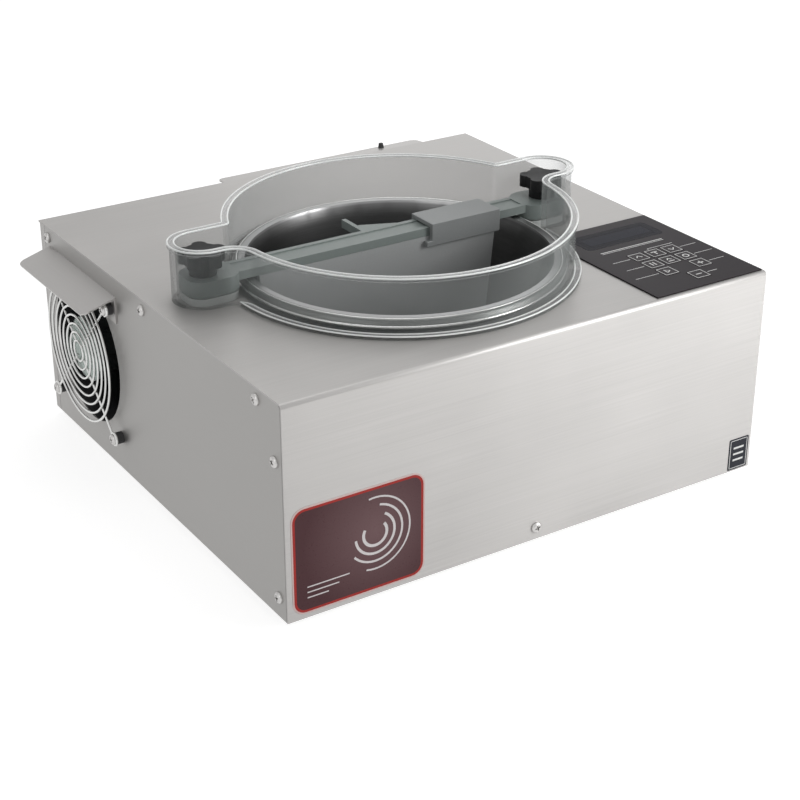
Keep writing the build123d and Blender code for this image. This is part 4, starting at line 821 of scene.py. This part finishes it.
# Key, side and length in millimetres of each leader
LEADERS = ((0, -1, 16), (2, 1, 15), (3, -1, 16), (5, 1, 17), (6, -1, 21), (7, 1, 14), (8, 1, 9))
# Bent leader of the second key, in millimetres from its middle
BENT_LEADER = ((0, 7.4), (0, 9.5), (24, 9.5))
key_boxes = [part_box(f"key_{n}") for n in KEYS]
key_mids = [(low + high) / 2 for low, high in key_boxes]
panel = Face(Vector((0, 0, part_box("control_overlay")[1].z)), X, Y)
ink = Form()
window_low, window_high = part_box("display_window")
window_mid = (window_low + window_high) / 2
rule_y = window_low.y - RULE_DROP
for y, line in ((rule_y, RULE_LINE), (rule_y - RULE_GAP, HAIR)):
    panel.stroke(ink, [(window_low.x + RULE_LEFT, y), (window_high.x - RULE_RIGHT, y)], line, 0, INK)
for key, side, length in LEADERS:
    mid = key_mids[key]
    start = mid.x + side * LEADER_IN
    panel.stroke(ink, [(start, mid.y), (start + side * length * MM, mid.y)], HAIR, 0, INK)
start = key_mids[1]
panel.stroke(ink, [(start.x + x * MM, start.y + y * MM) for x, y in BENT_LEADER], HAIR, 0, INK)
ink.make("panel_print", "case", white_ink, smooth=False)


def key_mark(number):
    """Strokes of the mark on one key, in millimetres from its middle."""
    marks = (
        [[(-2.5, -1), (0, 2), (2.5, -1)]],
        [[(-2.8, 1.8), (2.8, 1.8)], [(0, 1.8), (0, -2.6)]],
        [[(-2.5, 1), (0, -2), (2.5, 1)]],
        [[(-1.4, -2.6), (-1.4, 2.6)], [(1.4, -2.6), (1.4, 2.6)]],
        [[(-2.8, -2.4), (2.8, -2.4)], [(-2, 0), (0, 2.6), (2, 0)]],
        [arc((0, 0), 2.3, 0, 360, 20)],
        [[(-1.6, -2.5), (2.2, 0), (-1.6, 2.5), (-1.6, -2.5)]],
        [[(0, -2.6), (0, 2.6)], [(-2.6, 0), (2.6, 0)]],
        [[(-2.6, 0), (2.6, 0)]],
    )
    return marks[number - 1]


KEY_FRAME_IN, KEY_FRAME_CORNER = 0.5 * MM, 0.5 * MM
MARK_LINE = 0.9 * MM
for number, (low, high) in zip(KEYS, key_boxes):
    mid = (low + high) / 2
    face = Face(Vector((mid.x, mid.y, high.z)), X, Y)
    ink = Form()
    size = high.x - low.x - KEY_FRAME_IN
    face.band(ink, size, size, KEY_FRAME_CORNER, HAIR, 0, INK)
    for points in key_mark(number):
        face.stroke(ink, [(x * MM, y * MM) for x, y in points], MARK_LINE, 0, INK)
    ink.make(f"key_print_{number}", f"key_{number}", white_ink, smooth=False)

# Display on the window: a pane and a line round it
PANE_W, PANE_H, PANE_CORNER = 58 * MM, 13 * MM, 0.8 * MM
SURROUND_W, SURROUND_H, SURROUND_CORNER, SURROUND_LINE = 63 * MM, 18 * MM, 1.5 * MM, 0.5 * MM
view = Form()
pane = Face(Vector((window_mid.x, window_mid.y, window_high.z)), X, Y)
pane.plate(view, PANE_W, PANE_H, PANE_CORNER, 0, INK)
pane.band(view, SURROUND_W, SURROUND_H, SURROUND_CORNER, SURROUND_LINE, 0, INK)
view.make("display_pane", "case", display_film, smooth=False)

# Generic badge on the front: a plum field with turning arcs inside a red border
BADGE_W = 102 * MM
BADGE_H = 79.5 * MM
BADGE_R = 10 * MM
BADGE_LEFT, BADGE_UP = 4 * MM, 3.5 * MM
badge_mid = Vector((LEFT + BADGE_LEFT + BADGE_W / 2, FRONT, BOTTOM + BADGE_UP + BADGE_H / 2))
front_face = Face(badge_mid, X, Z)
GLOW = (12 * MM, 6 * MM)
# Name, material, inset, lower and upper height and slope of each layer, in millimetres
BADGE_LAYERS = (
    ("badge_plate", badge_edge, 0, 0, 0.25, 0.1),
    ("badge_border", badge_red, 1.2, 0.25, 0.3, 0.02),
    ("badge_field", badge_plum(front_face.at(GLOW)), 3, 0.3, 0.35, 0.02),
)
for name, made, inset, low, high, slope in BADGE_LAYERS:
    form = Form()
    width, height = BADGE_W - 2 * inset * MM, BADGE_H - 2 * inset * MM
    front_face.plate(form, width, height, BADGE_R - inset * MM, low * MM, high * MM, slope * MM)
    form.make(name, "case", made, smooth=False)
MOTIF_LOW, MOTIF_HIGH = 0.35 * MM, 0.4 * MM
ARC_MID = (12 * MM, 4 * MM)
ARC_STEPS = 32
# Radius, first and last angle and line of each arc, in millimetres and degrees
ARCS = ((9, 150, 400, 2.2), (15, 185, 420, 1.9), (21, 220, 440, 1.6), (27, 255, 460, 1.3))
# Height and right end of each short rule, in millimetres
RULES = ((-20, -8), (-24, -16), (-28, -24))
RULES_LEFT = -40 * MM
SHORT_RULE = 0.9 * MM
form = Form()
for radius, first, last, line in ARCS:
    points = arc(ARC_MID, radius * MM, first, last, ARC_STEPS)
    front_face.stroke(form, points, line * MM, MOTIF_LOW, MOTIF_HIGH)
for y, end in RULES:
    points = [(RULES_LEFT, y * MM), (end * MM, y * MM)]
    front_face.stroke(form, points, SHORT_RULE, MOTIF_LOW, MOTIF_HIGH)
form.make("badge_motif", "case", badge_silver, smooth=False)

# Small dark label low on the right of the front
LABEL_W = 19 * MM
LABEL_H = 26 * MM
LABEL_RIGHT, LABEL_UP, LABEL_CORNER = 2 * MM, 1 * MM, 1.2 * MM
LABEL_TOP, LABEL_INK = 0.2 * MM, 0.25 * MM
LABEL_FRAME_IN, LABEL_FRAME_CORNER, LABEL_FRAME_LINE = 2.5 * MM, 0.8 * MM, 0.5 * MM
LABEL_BARS = (5 * MM, 0, -5 * MM)
LABEL_BAR_HALF, LABEL_BAR_LINE = 5 * MM, 1.6 * MM
label_mid = Vector((RIGHT - LABEL_RIGHT - LABEL_W / 2, FRONT, BOTTOM + LABEL_UP + LABEL_H / 2))
label_face = Face(label_mid, X, Z)
form = Form()
label_face.plate(form, LABEL_W, LABEL_H, LABEL_CORNER, 0, LABEL_TOP)
form.make("front_label", "case", label_dark, smooth=False)
form = Form()
label_face.band(
    form, LABEL_W - LABEL_FRAME_IN, LABEL_H - LABEL_FRAME_IN, LABEL_FRAME_CORNER, LABEL_FRAME_LINE,
    LABEL_TOP, LABEL_INK,
)
for y in LABEL_BARS:
    points = [(-LABEL_BAR_HALF, y), (LABEL_BAR_HALF, y)]
    label_face.stroke(form, points, LABEL_BAR_LINE, LABEL_TOP, LABEL_INK)
form.make("front_label_print", "case", white_ink, smooth=False)

# Floor and world: pale for the camera and in reflections, a plain level for the light
FLOOR_HALF = 30
corners = [(x * FLOOR_HALF, y * FLOOR_HALF, 0) for x, y in ((-1, -1), (1, -1), (1, 1), (-1, 1))]
floor_mesh = bpy.data.meshes.new("floor")
floor_mesh.from_pydata(corners, [], [(0, 1, 2, 3)])
floor = bpy.data.objects.new("floor", floor_mesh)
scene.collection.objects.link(floor)


def seen_rays(tree):
    """One for camera, glossy and transmission rays."""
    path = tree.nodes.new("ShaderNodeLightPath")
    total = None
    for ray in ("Is Camera Ray", "Is Glossy Ray", "Is Transmission Ray"):
        if total is None:
            total = path.outputs[ray]
            continue
        most = tree.nodes.new("ShaderNodeMath")
        most.operation = "MAXIMUM"
        tree.links.new(total, most.inputs[0])
        tree.links.new(path.outputs[ray], most.inputs[1])
        total = most.outputs[0]
    return total


FLOOR_GLOW = 0.76
FLOOR_TINT = 0.5
floor_material = bpy.data.materials.new("floor_pale")
floor_material.use_nodes = True
tree = floor_material.node_tree
tree.nodes.clear()
out = tree.nodes.new("ShaderNodeOutputMaterial")
matt = tree.nodes.new("ShaderNodeBsdfDiffuse")
matt.inputs["Color"].default_value = (FLOOR_TINT, FLOOR_TINT, FLOOR_TINT, 1)
lit = tree.nodes.new("ShaderNodeEmission")
scaled = tree.nodes.new("ShaderNodeMath")
scaled.operation = "MULTIPLY"
scaled.inputs[1].default_value = FLOOR_GLOW
tree.links.new(seen_rays(tree), scaled.inputs[0])
tree.links.new(scaled.outputs[0], lit.inputs["Strength"])
both = tree.nodes.new("ShaderNodeAddShader")
tree.links.new(matt.outputs[0], both.inputs[0])
tree.links.new(lit.outputs[0], both.inputs[1])
tree.links.new(both.outputs[0], out.inputs["Surface"])
floor_mesh.materials.append(floor_material)

AMBIENT, SEEN = 0.45, 1.0
world = bpy.data.worlds.new("studio")
scene.world = world
world.use_nodes = True
tree = world.node_tree
tree.nodes.clear()
out = tree.nodes.new("ShaderNodeOutputWorld")
sky = tree.nodes.new("ShaderNodeBackground")
level = tree.nodes.new("ShaderNodeMapRange")
level.inputs["To Min"].default_value = AMBIENT
level.inputs["To Max"].default_value = SEEN
tree.links.new(seen_rays(tree), level.inputs["Value"])
tree.links.new(level.outputs["Result"], sky.inputs["Strength"])
tree.links.new(sky.outputs[0], out.inputs["Surface"])


def lamp(name, place, target, size, power):
    """Square soft lamp that faces a point."""
    data = bpy.data.lights.new(name, "AREA")
    data.size = size
    data.energy = power
    obj = bpy.data.objects.new(name, data)
    scene.collection.objects.link(obj)
    obj.location = place
    obj.rotation_mode = "QUATERNION"
    obj.rotation_quaternion = (Vector(place) - Vector(target)).to_track_quat("Z", "Y")


# Name, place, target and size in metres, and power in watts
LAMPS = (
    ("key", (1.3, -1.5, 1.0), (0.05, -0.1, 0.1), 0.9, 18),
    ("top", (0.2, 0.3, 1.9), (0.0, 0.0, 0.1), 1.2, 7),
    ("rear", (1.2, 1.6, 0.7), (0.1, 0.1, 0.15), 1.0, 3),
    ("fill", (-1.6, -0.6, 1.0), (0.0, 0.0, 0.1), 1.2, 4),
    ("low", (1.3, -1.55, 0.2), (0.1, -0.2, 0.05), 1.0, 14),
)
for values in LAMPS:
    lamp(*values)

# Camera at the photograph's place
CAMERA_TURN = math.radians(-32.75)
CAMERA_RISE = math.radians(26.38)
CAMERA_AWAY = 1.394
CAMERA_RIGHT = 7.6 * MM
CAMERA_UP = 26.4 * MM
LENS, SENSOR = 79.95, 36.0
right = Vector((math.cos(CAMERA_TURN), math.sin(CAMERA_TURN), 0))
back = Vector((
    math.sin(CAMERA_TURN) * math.cos(CAMERA_RISE),
    -math.cos(CAMERA_TURN) * math.cos(CAMERA_RISE),
    math.sin(CAMERA_RISE),
))
up = back.cross(right)
aim = Vector(((LEFT + RIGHT) / 2, (FRONT + REAR) / 2, BOTTOM))
camera_data = bpy.data.cameras.new("camera")
camera_data.lens = LENS
camera_data.sensor_width = SENSOR
camera = bpy.data.objects.new("camera", camera_data)
scene.collection.objects.link(camera)
turn = Matrix((right, up, back)).transposed().to_4x4()
place = aim + back * CAMERA_AWAY + right * CAMERA_RIGHT + up * CAMERA_UP
camera.matrix_world = Matrix.Translation(place) @ turn
scene.camera = camera

scene.view_settings.view_transform = "Standard"
